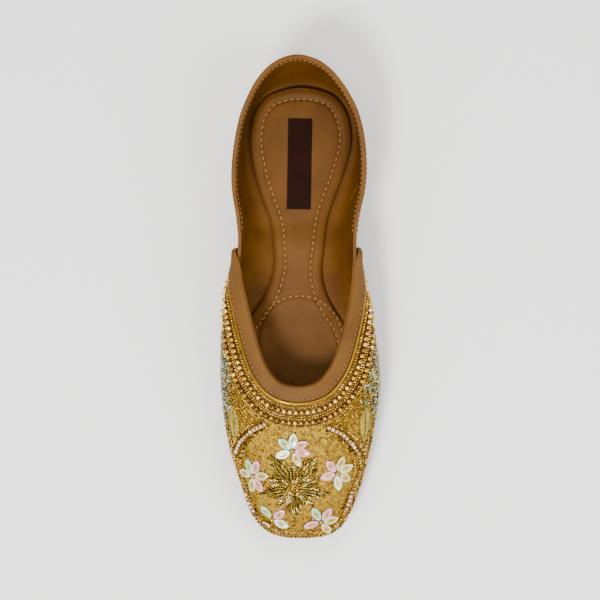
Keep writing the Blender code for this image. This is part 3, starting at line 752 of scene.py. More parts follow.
def vamp_relief(walk, level):
    """Soft puckers of the lined cloth, as depth below the even surface."""
    quilted = QUILT_DEPTH * np.sin(walk * 61 + level * 7) * np.sin(level * 23 + walk * 19)
    return creased(walk, level, VAMP_CREASES) + lasting_puckers(walk, level) + quilted * (level > 0.4)


def make_vamp():
    """The vamp's wall, in ribs from one wing round the toe to the other."""
    border = inward_curve(EDGE, BAND_WIDTH + SEAM_GAP)
    border[:, 1] = np.maximum(border[:, 1], -1.0)
    first, last = CORNER_BACK, len(border) - 1 - CORNER_BACK
    backs = {-1: border[: first + 1], 1: border[last:][::-1]}
    throat = border[first : last + 1]
    rings = []
    for even in np.linspace(-1, 1, 2 * VAMP_RIB_COUNT + 1):
        spot = even + RIB_CROWDING * math.sin(math.pi * even)
        back = backs[1 if spot >= 0 else -1]
        corner_walk = back[-1][0]
        walk = abs(spot) * corner_walk
        crest = float(np.interp(walk, throat[:, 0], throat[:, 1]))
        levels = np.where(VAMP_LEVELS < 0, VAMP_LEVELS, VAMP_LEVELS * crest)
        order = np.argsort(back[:, 1])
        pull = max(0.0, 1 - (1 - abs(spot)) / FOOT_REACH) ** 2
        at_back = np.interp(levels, back[order, 1], back[order, 0])
        walks = walk + pull * (at_back - corner_walk)
        relief = vamp_relief(walks, levels)
        outer = upper_point(walks, levels, relief)
        inner = upper_point(walks, levels, VAMP_WALL)
        rings.append(np.vstack([outer, inner[::-1]]))
    margin = int((VAMP_LEVELS < SMOOTH_MARGIN).sum())
    return shell("beaded_vamp", rings, len(VAMP_LEVELS), [GOLD_CLOTH, LINING, GOLD_FOIL], margin)


def quarter_relief(walk, level):
    """Soft creases and pulls of the foil leather, as depth below the even surface."""
    return creased(walk, level, QUARTER_CREASES) + lasting_puckers(walk, level)


def soft_inset(walk, level):
    """How far the quarter lies inside the upper's surface: it comes out gently along its top."""
    share = back_share(walk)
    low = quarter_inset(share)
    high = UNDER_WING * (1 - ease(share, WING_FOOT, WING_FOOT + TOP_RUNOUT / SHOE_LENGTH))
    return low + (high - low) * ease(level, 0.15, 0.8)


LINING_TAPER = 0.016
TAPER_RIBS = 12
THINNED = 0.92
TUCKED_IN = 0.0016
SKIVED = 0.0004
SKIVE_START = 0.945
SKIVE_RUN = 0.03


def make_quarter():
    """The quarter's wall, with each front end skived away to a thin edge inside the vamp."""
    start = walk_at(QUARTER_START)
    tip = walk_at(QUARTER_START - LINING_TAPER / SHOE_LENGTH)
    taper = np.linspace(tip, start, TAPER_RIBS)[:-1]
    whole = np.linspace(start, 2 - start, QUARTER_RIB_COUNT)
    rings = []
    for walk in np.concatenate([taper, whole, 2 - taper[::-1]]):
        beyond = max(start - min(walk, 2 - walk), 0) / (start - tip)
        wall = QUARTER_WALL * (1 - THINNED * beyond)
        high = soft_inset(walk, 1.0)
        seam = top_line(walk) - BINDING_WIDTH + TUCKED_IN
        shares = np.linspace(0, 1, WALL_LEVELS)
        outer_levels = np.concatenate([MARGIN_LEVELS, shares * level_at_height(walk, seam, high)])
        inner_top = level_at_height(walk, seam, high + wall)
        inner_levels = np.concatenate([MARGIN_LEVELS, shares * inner_top])
        up = np.concatenate([MARGIN_LEVELS, shares])
        near_top = np.clip((up - SKIVE_START) / SKIVE_RUN, 0, 1)
        skive = SKIVED * wall / QUARTER_WALL * near_top
        inset = soft_inset(walk, outer_levels) + skive
        depth = soft_inset(walk, inner_levels) + wall - skive
        relief = quarter_relief(np.full_like(outer_levels, walk), outer_levels)
        outer = upper_point(walk, outer_levels, inset + relief)
        folds = creased(np.full_like(inner_levels, walk), inner_levels, LINING_CREASES)
        inner = upper_point(walk, inner_levels, depth + folds * (inner_levels > 0.1))
        rings.append(np.vstack([outer, inner[::-1]]))
    return shell("quarter_leather", rings, WALL_LEVELS + len(MARGIN_LEVELS), [GOLD_FOIL, LINING])


# Share of the binding's width from its lower edge, and depth as a share of its step.
BINDING_PROFILE = (
    (0.0, 0.05), (0.0, -0.7), (0.06, -1.0), (0.4, -1.0), (0.7, -1.0), (0.87, -0.75), (0.97, -0.1),
)


def make_binding():
    """The folded binding on the quarter's top edge: down over both faces, with a rounded fold."""
    start = walk_at(QUARTER_START)
    rings = []
    for walk in np.linspace(start, 2 - start, QUARTER_RIB_COUNT):
        inset = float(soft_inset(walk, 1.0))
        edge = BINDING_STEP * (1 - inset / UNDER_WING)
        outside = [(share, depth * edge) for share, depth in BINDING_PROFILE]
        inside = [(share, QUARTER_WALL - 0.6 * depth * edge) for share, depth in BINDING_PROFILE[::-1]]
        shares, depths = np.array(outside + [(1.0, QUARTER_WALL / 2)] + inside).T
        z = top_line(walk) - BINDING_WIDTH * (1 - shares)
        levels = level_at_height(walk, z, inset + depths)
        rings.append(upper_point(walk, levels, inset + depths))
    return shell("collar_binding", rings, 0, [BINDING_TAN, BINDING_TAN])


# Share of the band's width, share of its step, and share of the vamp's wall.
FINE_BAND = (
    (0.02, 0.2, 0.0), (0.04, 0.65, 0.0), (0.10, 0.93, 0.0), (0.20, 1.0, 0.0), (0.40, 1.0, 0.0),
    (0.60, 1.0, 0.0), (0.80, 1.0, 0.0), (0.92, 0.95, 0.0), (0.98, 0.7, 0.0), (1.0, 0.1, 0.0),
    (1.0, 0.0, 1.0), (0.5, 0.0, 1.0), (0.0, 0.0, 0.95), (0.0, 0.0, 0.5),
)


def make_band():
    """The band folded over the vamp's edge, from one wing's foot to the other's."""
    border = inward_curve(EDGE, BAND_WIDTH)
    border[:, 1] = np.maximum(border[:, 1], -1.0)
    shares, proud, depths = np.array(FINE_BAND).T
    rings = []
    for (walk, level), (walk_in, level_in) in zip(EDGE, border):
        at, up = walk + shares * (walk_in - walk), level + shares * (level_in - level)
        raised = BAND_STEP * ease(up, 0.02, 0.4)
        rings.append(upper_point(at, up, depths * VAMP_WALL - proud * raised))
    return shell("throat_band", rings, 0, [BAND_TAN, BAND_TAN])


INSOLE_RINGS = 420
INSOLE_ACROSS = 111


def insole_stations():
    low = max(INSOLE.sides[side][0][0] for side in (1, -1)) + END_CLEARANCE
    high = min(INSOLE.sides[side][0][-1] for side in (1, -1)) - END_CLEARANCE
    turn = np.linspace(0, math.pi, INSOLE_RINGS)
    return low + (0.45 * turn / math.pi + 0.55 * (1 - np.cos(turn)) / 2) * (high - low)


STITCH_INSET = 0.0065
GROOVE_DEPTH = 0.00055
GROOVE_WIDTH = 0.0010
PAD_CENTRE = (-0.0005, -0.0224)
PAD_RADIUS = 0.0246


def sock_distances(x, y):
    """Distance from the sock's outline, and from the seam of the forefoot pad."""
    spots = np.stack([x, np.broadcast_to(y, x.shape)], axis=-1)
    rim = np.linalg.norm(spots[..., None, :] - INSOLE.curve, axis=-1).min(axis=-1)
    from_x, from_y = spots[..., 0] - PAD_CENTRE[0], spots[..., 1] - PAD_CENTRE[1]
    beside, round_it = abs(abs(from_x) - PAD_RADIUS), abs(np.hypot(from_x, from_y) - PAD_RADIUS)
    return rim, np.where(spots[..., 1] < PAD_CENTRE[1], beside, round_it)


def hump(distance, at, width):
    return np.exp(-(((distance - at) / width) ** 2))


def insole_relief(x, y):
    """Soft shape of the sock's upper face, as height above its plain crown."""
    rim, pad = sock_distances(x, y)
    groove = -GROOVE_DEPTH * hump(rim, STITCH_INSET, GROOVE_WIDTH)
    roll = 0.00045 * hump(rim, 0.0034, 0.0019)
    seam = -GROOVE_DEPTH * hump(pad, 0.0, GROOVE_WIDTH) + 0.0003 * hump(pad, 0.003, 0.002)
    return groove + roll + seam * (rim > 0.004)


def sock_height(x, y):
    """Height of the sock's upper face over places in plan."""
    right, left = INSOLE.half_width(y, 1), INSOLE.half_width(y, -1)
    shares = (x - (right - left) / 2) / ((right + left) / 2)
    top = insole_base(y) + INSOLE_THICKNESS - INSOLE_CROWN
    return top + INSOLE_CROWN * (1 - np.clip(shares, -1, 1) ** 4) + insole_relief(x, y)


def make_insole():
    """The sock over its board: a rounded rim, a flat underside and a crowned upper face."""
    rings = []
    for y in insole_stations():
        right, left = INSOLE.half_width(y, 1), INSOLE.half_width(y, -1)
        centre, reach = (right - left) / 2, (right + left) / 2
        rim = min(INSOLE_THICKNESS / 2, reach * 0.5)
        base = insole_base(y)
        top = base + INSOLE_THICKNESS - INSOLE_CROWN
        shares = np.linspace(1, -1, INSOLE_ACROSS) * (1 - rim / reach)
        across = centre + shares * reach
        upper = np.column_stack([across, np.full_like(across, y), sock_height(across, y)])
        under_x = centre + np.array([-1, -0.5, 0, 0.5, 1]) * (reach - rim)
        under = np.column_stack([under_x, np.full(5, y), np.full(5, base)])
        turn = np.linspace(0, math.pi, 8)[1:-1]
        middle, half = (base + top) / 2, (top - base) / 2
        side_x, side_z = rim * np.sin(turn), middle - half * np.cos(turn)
        right_rim = np.column_stack([centre + reach - rim + side_x, np.full(6, y), side_z])
        left_rim = np.column_stack([centre - reach + rim - side_x, np.full(6, y), side_z])[::-1]
        rings.append(np.vstack([upper, left_rim, under, right_rim]))
    return shell("sock_insole", rings, INSOLE_ACROSS, [SOCK, SOCK])


place(make_vamp(), "beaded_cloth", "upper_vamp")
place(make_quarter(), "gold_foil_leather", "upper_quarter")
place(make_band(), "band_leather", "vamp_band")
place(make_binding(), "binding_leather", "quarter_binding")
place(make_insole(), "sock_leather", "insole")


SEED = 7
dice = np.random.default_rng(SEED)


def ball_form(around=8, rings=5):
    """A unit ball as points and faces."""
    points = [(0, 0, 1)]
    for i in range(1, rings):
        tilt = math.pi * i / rings
        for j in range(around):
            turn = 2 * math.pi * j / around
            points.append((math.sin(tilt) * math.cos(turn), math.sin(tilt) * math.sin(turn), math.cos(tilt)))
    points.append((0, 0, -1))
    faces = [(0, 1 + j, 1 + (j + 1) % around) for j in range(around)]
    for i in range(rings - 2):
        a, b = 1 + i * around, 1 + (i + 1) * around
        faces += [(a + j, b + j, b + (j + 1) % around, a + (j + 1) % around) for j in range(around)]
    last, low = len(points) - 1, 1 + (rings - 2) * around
    faces += [(last, low + (j + 1) % around, low + j) for j in range(around)]
    return np.array(points, float), faces


def rings_joined(rings, around):
    """Faces between rings of points that follow one another."""
    faces = []
    for i in range(rings - 1):
        a, b = i * around, (i + 1) * around
        faces += [(a + j, a + (j + 1) % around, b + (j + 1) % around, b + j) for j in range(around)]
    return faces


def tube_form(around=6):
    """A bugle: a six-sided tube along the first axis, its ends drawn in a little."""
    stations = ((-0.5, 0.3), (-0.47, 0.5), (0.47, 0.5), (0.5, 0.3))
    points = []
    for x, radius in stations:
        for j in range(around):
            turn = 2 * math.pi * j / around
            points.append((x, radius * math.cos(turn), radius * math.sin(turn)))
    ends = [tuple(range(around))[::-1], tuple(range(3 * around, 4 * around))]
    return np.array(points, float), ends + rings_joined(len(stations), around)


def petal_form(count=20):
    """A marquise sequin, dished, with a raised rim. Its last faces are its clear middle."""
    rows = ((1.0, 0.0), (1.0, 0.55), (0.86, 1.0), (0.62, 0.75), (0.30, 0.45))
    turns = np.linspace(0, 2 * math.pi, count, endpoint=False)
    x = np.cos(turns) / 2
    y = np.sign(np.sin(turns)) * (1 - np.cos(turns) ** 2) ** 0.78 / 2
    points = [(a * scale, b * scale, up) for scale, up in rows for a, b in zip(x, y)]
    faces = [tuple(range(count))[::-1]] + rings_joined(len(rows), count)
    faces.append(tuple(range((len(rows) - 1) * count, len(rows) * count)))
    return np.array(points, float), faces, 1 + 3 * count


BALL = ball_form()
TUBE = tube_form()
PETAL = petal_form()


class Trimming:
    """Many small forms of one kind that are sewn on as one piece."""

    def __init__(self, name, form, finishes, slot="beaded_cloth"):
        self.name, self.form, self.finishes, self.slot = name, form, finishes, slot
        self.spots, self.axes, self.sizes, self.picks = [], [], [], []

    def add(self, spots, along, out, sizes, picks):
        """Forms at these points, their first axis along and their third outward."""
        along = unit(along - out * (along * out).sum(-1, keepdims=True))
        count = len(spots)
        self.spots.append(spots)
        self.axes.append(np.stack([along, np.cross(out, along), out], axis=-1))
        self.sizes.append(np.broadcast_to(sizes, (count, 3)))
        self.picks.append(np.broadcast_to(picks, (count,)))

    def sew(self):
        points, faces = self.form[:2]
        spots, axes = np.concatenate(self.spots), np.concatenate(self.axes)
        sizes, picks = np.concatenate(self.sizes), np.concatenate(self.picks)
        local = points[None] * sizes[:, None, :]
        placed = spots[:, None, :] + np.einsum("nij,nvj->nvi", axes, local)
        per = len(points)
        all_faces, finish = [], []
        middle = self.form[2] if len(self.form) > 2 else len(faces)
        for i in range(len(spots)):
            all_faces += [tuple(k + i * per for k in face) for face in faces]
            finish += [picks[i]] * middle + [picks[i] + 1] * (len(faces) - middle)
        made = new_object(self.name, placed.reshape(-1, 3), all_faces, self.finishes, finish)
        return place(made, self.slot)


def bead_finish(name, colour, roughness=0.2, metallic=1.0):
    return new_material(name, linear(*colour), roughness, metallic)


def finishes(*rows):
    """Finishes from rows of name and colour, then roughness and metallic if they differ from a bead's."""
    return [bead_finish(*row) for row in rows]


GOLD_BEADS = finishes(
    ("bead_gold", (196, 152, 58)), ("bead_bright_gold", (236, 200, 110)),
    ("bead_bronze", (132, 94, 34)), ("bead_dark_bronze", (66, 46, 14), 0.3),
    ("bead_old_gold", (160, 118, 34), 0.26),
)
GOLD, BRIGHT, BRONZE, DARK, OLD = range(5)
BUGLES = finishes(
    ("bugle_olive_gold", (152, 126, 52), 0.18), ("bugle_bright", (230, 206, 130), 0.15),
    ("bugle_olive_bronze", (112, 90, 34), 0.2), ("bugle_dark_olive", (60, 50, 18), 0.25),
    ("bugle_old_gold", (140, 110, 34), 0.2),
)
STONES = finishes(
    ("stone_blush", (222, 178, 150), 0.08, 0.25), ("stone_clear", (232, 214, 188), 0.06, 0.3),
    ("stone_champagne", (188, 146, 98), 0.12, 0.5),
)
# The pale teal is a painted highlight: pale bugles that stand in for white glints.
TEALS = finishes(
    ("bugle_teal", (92, 112, 90), 0.22, 0.6), ("bugle_grey_green", (120, 132, 92), 0.22, 0.6),
    ("bugle_pale_teal_painted_glint", (168, 184, 164), 0.15, 0.5), ("bugle_dark", (52, 62, 50), 0.25, 0.5),
)
LEAF_GREENS = finishes(
    ("thread_yellow_green", (142, 124, 16), 0.5, 0.1), ("thread_lime", (160, 140, 26), 0.5, 0.1),
)


def on_vamp(x, y):
    """Walk and level of the vamp's points over these places in plan."""
    x, y = np.asarray(x, float), np.asarray(y, float)
    toe = y < TOE_PIVOT
    fanned = np.arctan2(x, TOE_PIVOT - y) * 2 / math.pi * TOE_PART
    beside = np.where(x >= 0, 1.0, -1.0) * np.interp(y, (TOE_PIVOT, HEEL_PIVOT), (TOE_PART, SIDE_PART))
    walk = np.where(toe, fanned, beside)
    out = np.where(toe, np.hypot(x, y - TOE_PIVOT), abs(x))
    belly, _, _, fullness = rib_sizes(rib_at(walk), 0.0)
    share = np.clip(out / belly, 0.001, MOST_REACH)
    return walk, 1 + np.arccos(share ** (fullness / 2)) * 2 / math.pi


def run_along(points):
    """Length of the line through the points, up to each of them."""
    return np.concatenate([[0], np.cumsum(np.linalg.norm(np.diff(points, axis=0), axis=1))])


def sampled(at, run, points):
    """Points at these lengths of the line."""
    return np.column_stack([np.interp(at, run, column) for column in points.T])


def spaced(curve, pitch, start=0.0):
    """Walks and levels along the curve at equal steps over the surface."""
    run = run_along(places_of(curve))
    return sampled(np.arange(start, run[-1], pitch), run, curve).T


def sew_row(trimming, curve, pitch, size, picks, weights, lift=0.42, jitter=0.0):
    """A row of beads along a curve of walks and levels."""
    walk, level = spaced(curve, pitch)
    spots, _, up, out = surface_frame(walk, level)
    count = len(walk)
    if not count:
        return
    grown = size * (1 + dice.uniform(-0.07, 0.07, (count, 1)))
    spots = spots + out * grown * lift + up * dice.normal(0, 1, (count, 1)) * jitter
    along = unit(np.gradient(spots, axis=0)) if count > 1 else up
    sizes = np.column_stack([grown[:, 0] / 2] * 3) * (0.94, 1.0, 0.92)
    trimming.add(spots, along, out, sizes, dice.choice(picks, count, p=weights))


def plan_curve(*points, count=80):
    """A smooth curve through places in plan, given in millimetres, as walks and levels."""
    points = np.array(points, float) / 1000
    run = run_along(points)
    blend = sampled(np.linspace(0, run[-1], count), run, points)
    for _ in range(3):
        blend[1:-1] = (blend[:-2] + 2 * blend[1:-1] + blend[2:]) / 4
    return np.column_stack(on_vamp(blend[:, 0], blend[:, 1]))


def keep_above(curve, lowest):
    return curve[curve[:, 1] > lowest]


# The level on the wings at which the ground strip ends.
GROUND_FOOT = 0.34


def make_throat_ground():
    """The strip of cloth under the rows round the throat, painted darker as the shade between the beads."""
    offsets = np.linspace(2.3, 14.9, 9) / 1000
    curves = [inward_curve(EDGE, BAND_WIDTH + offset) for offset in offsets]
    arch = np.sin(np.linspace(0.1, math.pi - 0.1, len(offsets)))
    rings = []
    for i in range(len(EDGE)):
        walk, level = np.array([curve[i] for curve in curves]).T
        if level.min() < GROUND_FOOT:
            continue
        top = upper_point(walk, level, -0.00012 * arch)
        low = upper_point(walk, level, 0.0004)
        rings.append(np.vstack([top, low[::-1]]))
    return place(shell("throat_ground", rings, len(offsets), [ROW_CLOTH_SHADED, ROW_CLOTH_SHADED]), "beaded_cloth")


# Distance of each row from the band, size and pitch of its beads, in millimetres, and for the large
# ones the shares of gold, bright gold and bronze.
FINE_ROWS = ((3.2, 1.5, 1.65), (8.5, 1.35, 1.5), (9.9, 1.35, 1.5), (14.2, 1.35, 1.5))
LARGE_ROWS = ((6.0, 2.9, 3.3, (0.62, 0.33, 0.05)), (12.0, 2.7, 3.35, (0.52, 0.16, 0.32)))


def sew_throat_rows():
    """The rows that run round the throat and down the wings, from the band outward."""
    fine = Trimming("throat_seed_beads", BALL, GOLD_BEADS)
    large = Trimming("throat_large_beads", ball_form(12, 8), GOLD_BEADS)
    for offset, size, pitch in FINE_ROWS:
        curve = keep_above(inward_curve(EDGE, BAND_WIDTH + offset * MM), 0.36)
        sew_row(fine, curve, pitch * MM, size * MM, (GOLD, BRIGHT, OLD), (0.55, 0.2, 0.25))
    for offset, size, pitch, weights in LARGE_ROWS:
        curve = keep_above(inward_curve(EDGE, BAND_WIDTH + offset * MM), 0.38)
        sew_row(large, curve, pitch * MM, size * MM, (GOLD, BRIGHT, BRONZE), weights)
        # Tiny dark-bronze dots in the gaps between the large beads: painted shade where the beads meet.
        walk, level = spaced(curve, pitch * MM, pitch * MM / 2)
        spots, along, _, out = surface_frame(walk, level)
        fine.add(spots + out * 0.35 * MM, along, out, np.full(3, 0.45) * MM, DARK)
    fine.sew()
    large.sew()


def ribbon(name, curve, width, height, finish, turns=8):
    """A smooth rounded cord laid on the surface along a curve of walks and levels."""
    spots, _, _, out = surface_frame(*curve.T)
    along = unit(np.gradient(spots, axis=0))
    across = np.cross(out, along)
    rings = []
    for turn in np.linspace(0, 2 * math.pi, turns, endpoint=False):
        raised = out * (0.35 + 0.65 * math.sin(turn)) * height
        rings.append(spots + across * width / 2 * math.cos(turn) + raised)
    rings = np.stack(rings, axis=1)
    return place(shell(name, rings, 0, [finish, finish]), "beaded_cloth")


# Painted shade: a darker cloth under the throat rows, standing for the shade between their beads.
ROW_CLOTH_SHADED = new_material("row_cloth_painted_shade", linear(96, 64, 10), 0.5, 0.5)
grained(mottled(ROW_CLOTH_SHADED, (78, 50, 4), (128, 90, 16), 500), 1150, 0.8, 0.0004, True)
make_throat_ground()
sew_throat_rows()


SEQUINS = []
for label, rim, middle in (
    ("white", (226, 236, 222), (196, 186, 120)),
    ("mint", (164, 224, 196), (178, 180, 100)),
    ("pink", (236, 160, 194), (208, 156, 110)),
    ("cream", (216, 206, 158), (184, 158, 78)),
):
    SEQUINS.append(bead_finish(f"sequin_{label}_rim", rim, 0.16, 0.15))
    SEQUINS.append(bead_finish(f"sequin_{label}_middle", middle, 0.22, 0.35))
WHITE, MINT, PINK, CREAM = 0, 2, 4, 6

Flower = namedtuple("Flower", "x y petals")
FLOWERS = (
    Flower(-3.5, -84.6, ((85, WHITE), (138, MINT), (202, WHITE), (295, CREAM), (350, PINK), (35, PINK))),
    Flower(-25.9, -99.9, ((119, MINT), (72, PINK), (11, CREAM), (305, PINK), (261, CREAM), (176, CREAM))),
    Flower(21.3, -97.8, ((68, CREAM), (128, PINK), (190, PINK), (274, WHITE), (326, CREAM), (20, CREAM))),
    Flower(-15.7, -125.0, ((127, MINT), (43, PINK), (336, WHITE), (230, CREAM))),
    Flower(12.0, -126.1, ((116, MINT), (53, PINK), (4, CREAM), (299, CREAM), (199, PINK))),
)
PETAL_LENGTH = 0.0092
PETAL_WIDTH = 0.0050
PETAL_HEIGHT = 0.0007
PETAL_START = 0.0012


def plan_frame(x, y):
    """Surface point and outward direction over places in plan, with plan's own X and Y laid on it."""
    spots, _, _, out = surface_frame(*on_vamp(np.atleast_1d(x), np.atleast_1d(y)))
    east = unit(np.array([1.0, 0, 0]) - out * out[..., :1])
    return spots, east, np.cross(out, east), out


def sew_flowers():
    petals = Trimming("flower_sequins", PETAL, SEQUINS)
    hearts = Trimming("flower_hearts", ball_form(10, 7), GOLD_BEADS)
    seams = Trimming("sequin_stitches", BALL, GOLD_BEADS)
    for flower in FLOWERS:
        angles = np.radians([petal[0] for petal in flower.petals])
        spots, east, north, out = plan_frame(flower.x / 1000, flower.y / 1000)
        aim = east * np.cos(angles)[:, None] + north * np.sin(angles)[:, None]
        middle = spots + aim * (PETAL_START + PETAL_LENGTH / 2)
        middle, _, _, normal = plan_frame(middle[:, 0], middle[:, 1])
        tilt = unit(normal + 0.10 * dice.normal(0, 1, normal.shape))
        sizes = np.array([PETAL_LENGTH, PETAL_WIDTH, PETAL_HEIGHT])
        petals.add(middle + normal * 0.0004, aim, tilt, sizes, [petal[1] for petal in flower.petals])
        seams.add(middle + normal * 0.0009, aim, normal, np.array([0.0005, 0.0003, 0.0002]), BRONZE)
        hearts.add(spots + out * 0.0011, east, out, np.full(3, 0.00115), GOLD)
    petals.sew()
    hearts.sew()
    seams.sew()


BURST = (-0.0024, -0.1063)
# Angle in plan, where the spray starts and ends from the centre, and its half width, in millimetres.
SPRAYS = (
    (126, 6, 23, 3.9), (56, 6, 22, 3.9), (92, 4, 14, 3.6), (160, 5, 15, 2.8), (191, 4, 19, 3.4),
    (225, 4, 14, 2.8), (268, 4, 18, 3.4), (315, 4, 14, 2.8), (350, 4, 19, 3.4), (22, 5, 15, 2.8),
)
SPRAY_PITCH = 1.35
ASIDE = (-1.5, -0.7, 0, 0.7, 1.5)
BURST_TINTS = (0.27, 0.2, 0.23, 0.1, 0.2)


def sew_starburst():
    """Sprays of bugles that slant out from a cluster of beads, like feathers."""
    bugles = Trimming("starburst_bugles", TUBE, BUGLES)
    for degrees, start, end, half in SPRAYS:
        turn = math.radians(degrees)
        for distance in np.arange(start, end, SPRAY_PITCH):
            share = min((distance - start) / (end - start) + 0.12, 1)
            for side in ASIDE:
                spread = side * half * 0.75 * math.sin(math.pi * share)
                x = BURST[0] + (distance * math.cos(turn) - spread * math.sin(turn)) / 1000
                y = BURST[1] + (distance * math.sin(turn) + spread * math.cos(turn)) / 1000
                spots, east, north, out = plan_frame(x, y)
                lean = turn + math.radians(side * 20 + dice.normal(0, 7))
                aim = east * math.cos(lean) + north * math.sin(lean)
                size = np.array([0.0027 * dice.uniform(0.85, 1.15), 0.0010, 0.0010])
                tint = dice.choice((GOLD, BRIGHT, BRONZE, DARK, OLD), p=BURST_TINTS)
                lift = 0.0006 + 0.0007 * (1 - abs(side) / 1.5)
                bugles.add(spots + out * lift, aim, out, size, tint)
    bugles.sew()
    cluster = Trimming("starburst_heart", ball_form(10, 7), GOLD_BEADS)
    for radius, count in ((0.0, 1), (1.7, 6), (3.3, 11)):
        turn = 2 * math.pi * (np.arange(count) + 0.3) / count
        x, y = BURST[0] + radius / 1000 * np.cos(turn), BURST[1] + radius / 1000 * np.sin(turn)
        spots, east, _, out = plan_frame(x, y)
        tints = dice.choice((GOLD, BRIGHT, OLD), count, p=(0.4, 0.35, 0.25))
        cluster.add(spots + out * 0.0006, east, out, np.full(3, 0.0008), tints)
    cluster.sew()


def beside(curve, distance):
    """The curve of walks and levels, moved sideways over the surface."""
    spots, _, _, out = surface_frame(*curve.T)
    sideways = np.cross(unit(np.gradient(spots, axis=0)), out)
    return np.column_stack(step_on_surface(*curve.T, sideways, distance, 3))


# Places in plan that the arches run through, in millimetres.
BRIGHT_ARCHES = (
    ((-19, -69.8), (-27, -74), (-33.5, -80.5), (-36.6, -88)),
    ((17, -71.6), (24.5, -75.5), (30, -81.5), (33.6, -88)),
    ((-30.3, -111.5), (-28.6, -117), (-25.5, -121.8)),
    ((29.0, -109.5), (27.9, -114), (25.3, -120.5)),
)
FAINT_ARCHES = (
    ((-36.6, -88), (-36.8, -95), (-34.6, -102), (-30.3, -111.5)),
    ((33.6, -88), (34.3, -95), (32.2, -102), (29.0, -109.5)),
    ((-16.5, -70.5), (-25, -76.3), (-31, -82.5), (-33.6, -90), (-33.4, -97)),
    ((14.5, -72.3), (22.5, -77.7), (28, -83.6), (31, -91), (31.1, -98)),
    ((-20, -67.5), (-29, -71.6), (-36, -78.5), (-39.6, -88), (-39.8, -96), (-36.6, -105)),
    ((18, -69.3), (26.5, -73.2), (33, -79.5), (36.7, -88), (37.2, -96), (34.6, -105)),
    ((-25.5, -121.8), (-22, -127.2), (-18.5, -130.8)),
    ((25.3, -120.5), (22.5, -126.6), (18.5, -131)),
    ((-36.6, -105), (-32.6, -114), (-28.3, -122), (-22.5, -129.8)),
    ((34.6, -105), (31.4, -114), (27.4, -122), (22.0, -130)),
)


def sew_arches():
    """Arches of pale stones on dark lines, and the rows of small beads that go on from them."""
    stones = Trimming("arch_stones", ball_form(8, 4), STONES)
    lines = Trimming("arch_seed_beads", BALL, GOLD_BEADS)
    for places in BRIGHT_ARCHES:
        curve = plan_curve(*places)
        sew_row(stones, curve, 2.55 * MM, 2.3 * MM, (0, 1, 2), (0.45, 0.3, 0.25), 0.35)
        for aside in (-1.75, 1.75):
            sew_row(lines, beside(curve, aside * MM), 1.35 * MM, 1.15 * MM, (BRONZE, DARK), (0.5, 0.5))
    for places in FAINT_ARCHES:
        curve = plan_curve(*places)
        sew_row(lines, curve, 1.75 * MM, 1.5 * MM, (GOLD, BRONZE, DARK, BRIGHT), (0.36, 0.32, 0.12, 0.2))
    stones.sew()
    lines.sew()


def sew_toe_rows():
    """Rows of small brown-gold beads that follow the toe's outline, and its low sides."""
    rows = Trimming("rim_seed_beads", BALL, GOLD_BEADS)
    reach = walk_at(WING_FOOT) - 0.012
    for level in np.arange(0.42, 1.16, 0.105):
        walks = np.linspace(-reach, reach, 400)
        levels = level + 0.020 * np.sin(walks * 21 + level * 9)
        curve = np.column_stack([walks, levels])[past_throat_rows(walks, levels)]
        size = (1.2 if level < 0.75 else 1.5) * MM
        tints = (GOLD, BRONZE, DARK, OLD), (0.3, 0.3, 0.1, 0.3)
        sew_row(rows, curve, 1.4 * size, size, *tints, 0.4, 0.12 * MM)
    rows.sew()


def sew_corner_rows():
    """Close arcs of small beads that fill the corners between the throat rows and the arches."""
    rows = Trimming("corner_seed_beads", BALL, GOLD_BEADS)
    for offset in (16.4, 18.6, 20.8, 23.0, 25.2):
        curve = keep_above(inward_curve(EDGE, BAND_WIDTH + offset * MM), 0.9)
        places = places_of(curve)
        inner_bound = (16 + 1.15 * (offset - 16.4)) * MM
        for side in (-1, 1):
            part = curve[(places[:, 0] * side > inner_bound) & (places[:, 1] < -0.02)]
            tints = (GOLD, BRONZE, OLD, BRIGHT), (0.3, 0.34, 0.26, 0.1)
            sew_row(rows, part, 1.6 * MM, 1.25 * MM, *tints, 0.4, 0.1 * MM)
    rows.sew()


THROAT_POINTS = places_of(EDGE[::2])
ROWS_REACH = BAND_WIDTH + 0.0148


def past_throat_rows(walk, level):
    """Whether each point is further from the throat's edge than the band and the rows beside it."""
    spots = upper_point(walk, level, 0.0)
    return np.linalg.norm(spots[:, None] - THROAT_POINTS[None], axis=2).min(axis=1) > ROWS_REACH


GROUND_COUNT = 11000
PATCH_COUNT = 440


def sew_ground():
    """Tiny beads scattered evenly over the cloth, clear of the rows and the hearts."""
    ground = Trimming("ground_seed_beads", BALL, GOLD_BEADS)
    count = GROUND_COUNT
    reach = walk_at(WING_FOOT) - 0.02
    walk = dice.uniform(-reach, reach, count)
    level = dice.uniform(0.42, 1.95, count)
    keep = dice.uniform(0, 1, count) < np.clip(rib_size_ratio(walk, level), 0, 1)
    keep &= level < throat_level_safe(walk)
    walk, level = walk[keep], level[keep]
    apart = past_throat_rows(walk, level)
    walk, level = walk[apart], level[apart]
    for flower in FLOWERS:
        spots = upper_point(walk, level, 0.0)
        away = np.hypot(spots[:, 0] - flower.x / 1000, spots[:, 1] - flower.y / 1000) > 0.0025
        walk, level = walk[away], level[away]
    spots, along, _, out = surface_frame(walk, level)
    sizes = np.full((len(walk), 3), 0.0005) * dice.uniform(0.7, 1.15, (len(walk), 1))
    tints = dice.choice((GOLD, BRIGHT, BRONZE, OLD, DARK), len(walk), p=(0.34, 0.14, 0.2, 0.24, 0.08))
    ground.add(spots + out * 0.0003, along, out, sizes, tints)
    ground.sew()


def rib_size_ratio(walk, level):
    """Share of scattered beads to keep, so that they spread evenly where the ribs draw together."""
    here = upper_point(walk, level, 0.0)
    beside = upper_point(walk + 1e-3, level, 0.0)
    above = upper_point(walk, level + 1e-3, 0.0)
    patch = np.linalg.norm(np.cross(beside - here, above - here), axis=-1)
    return patch / np.percentile(patch, 90)


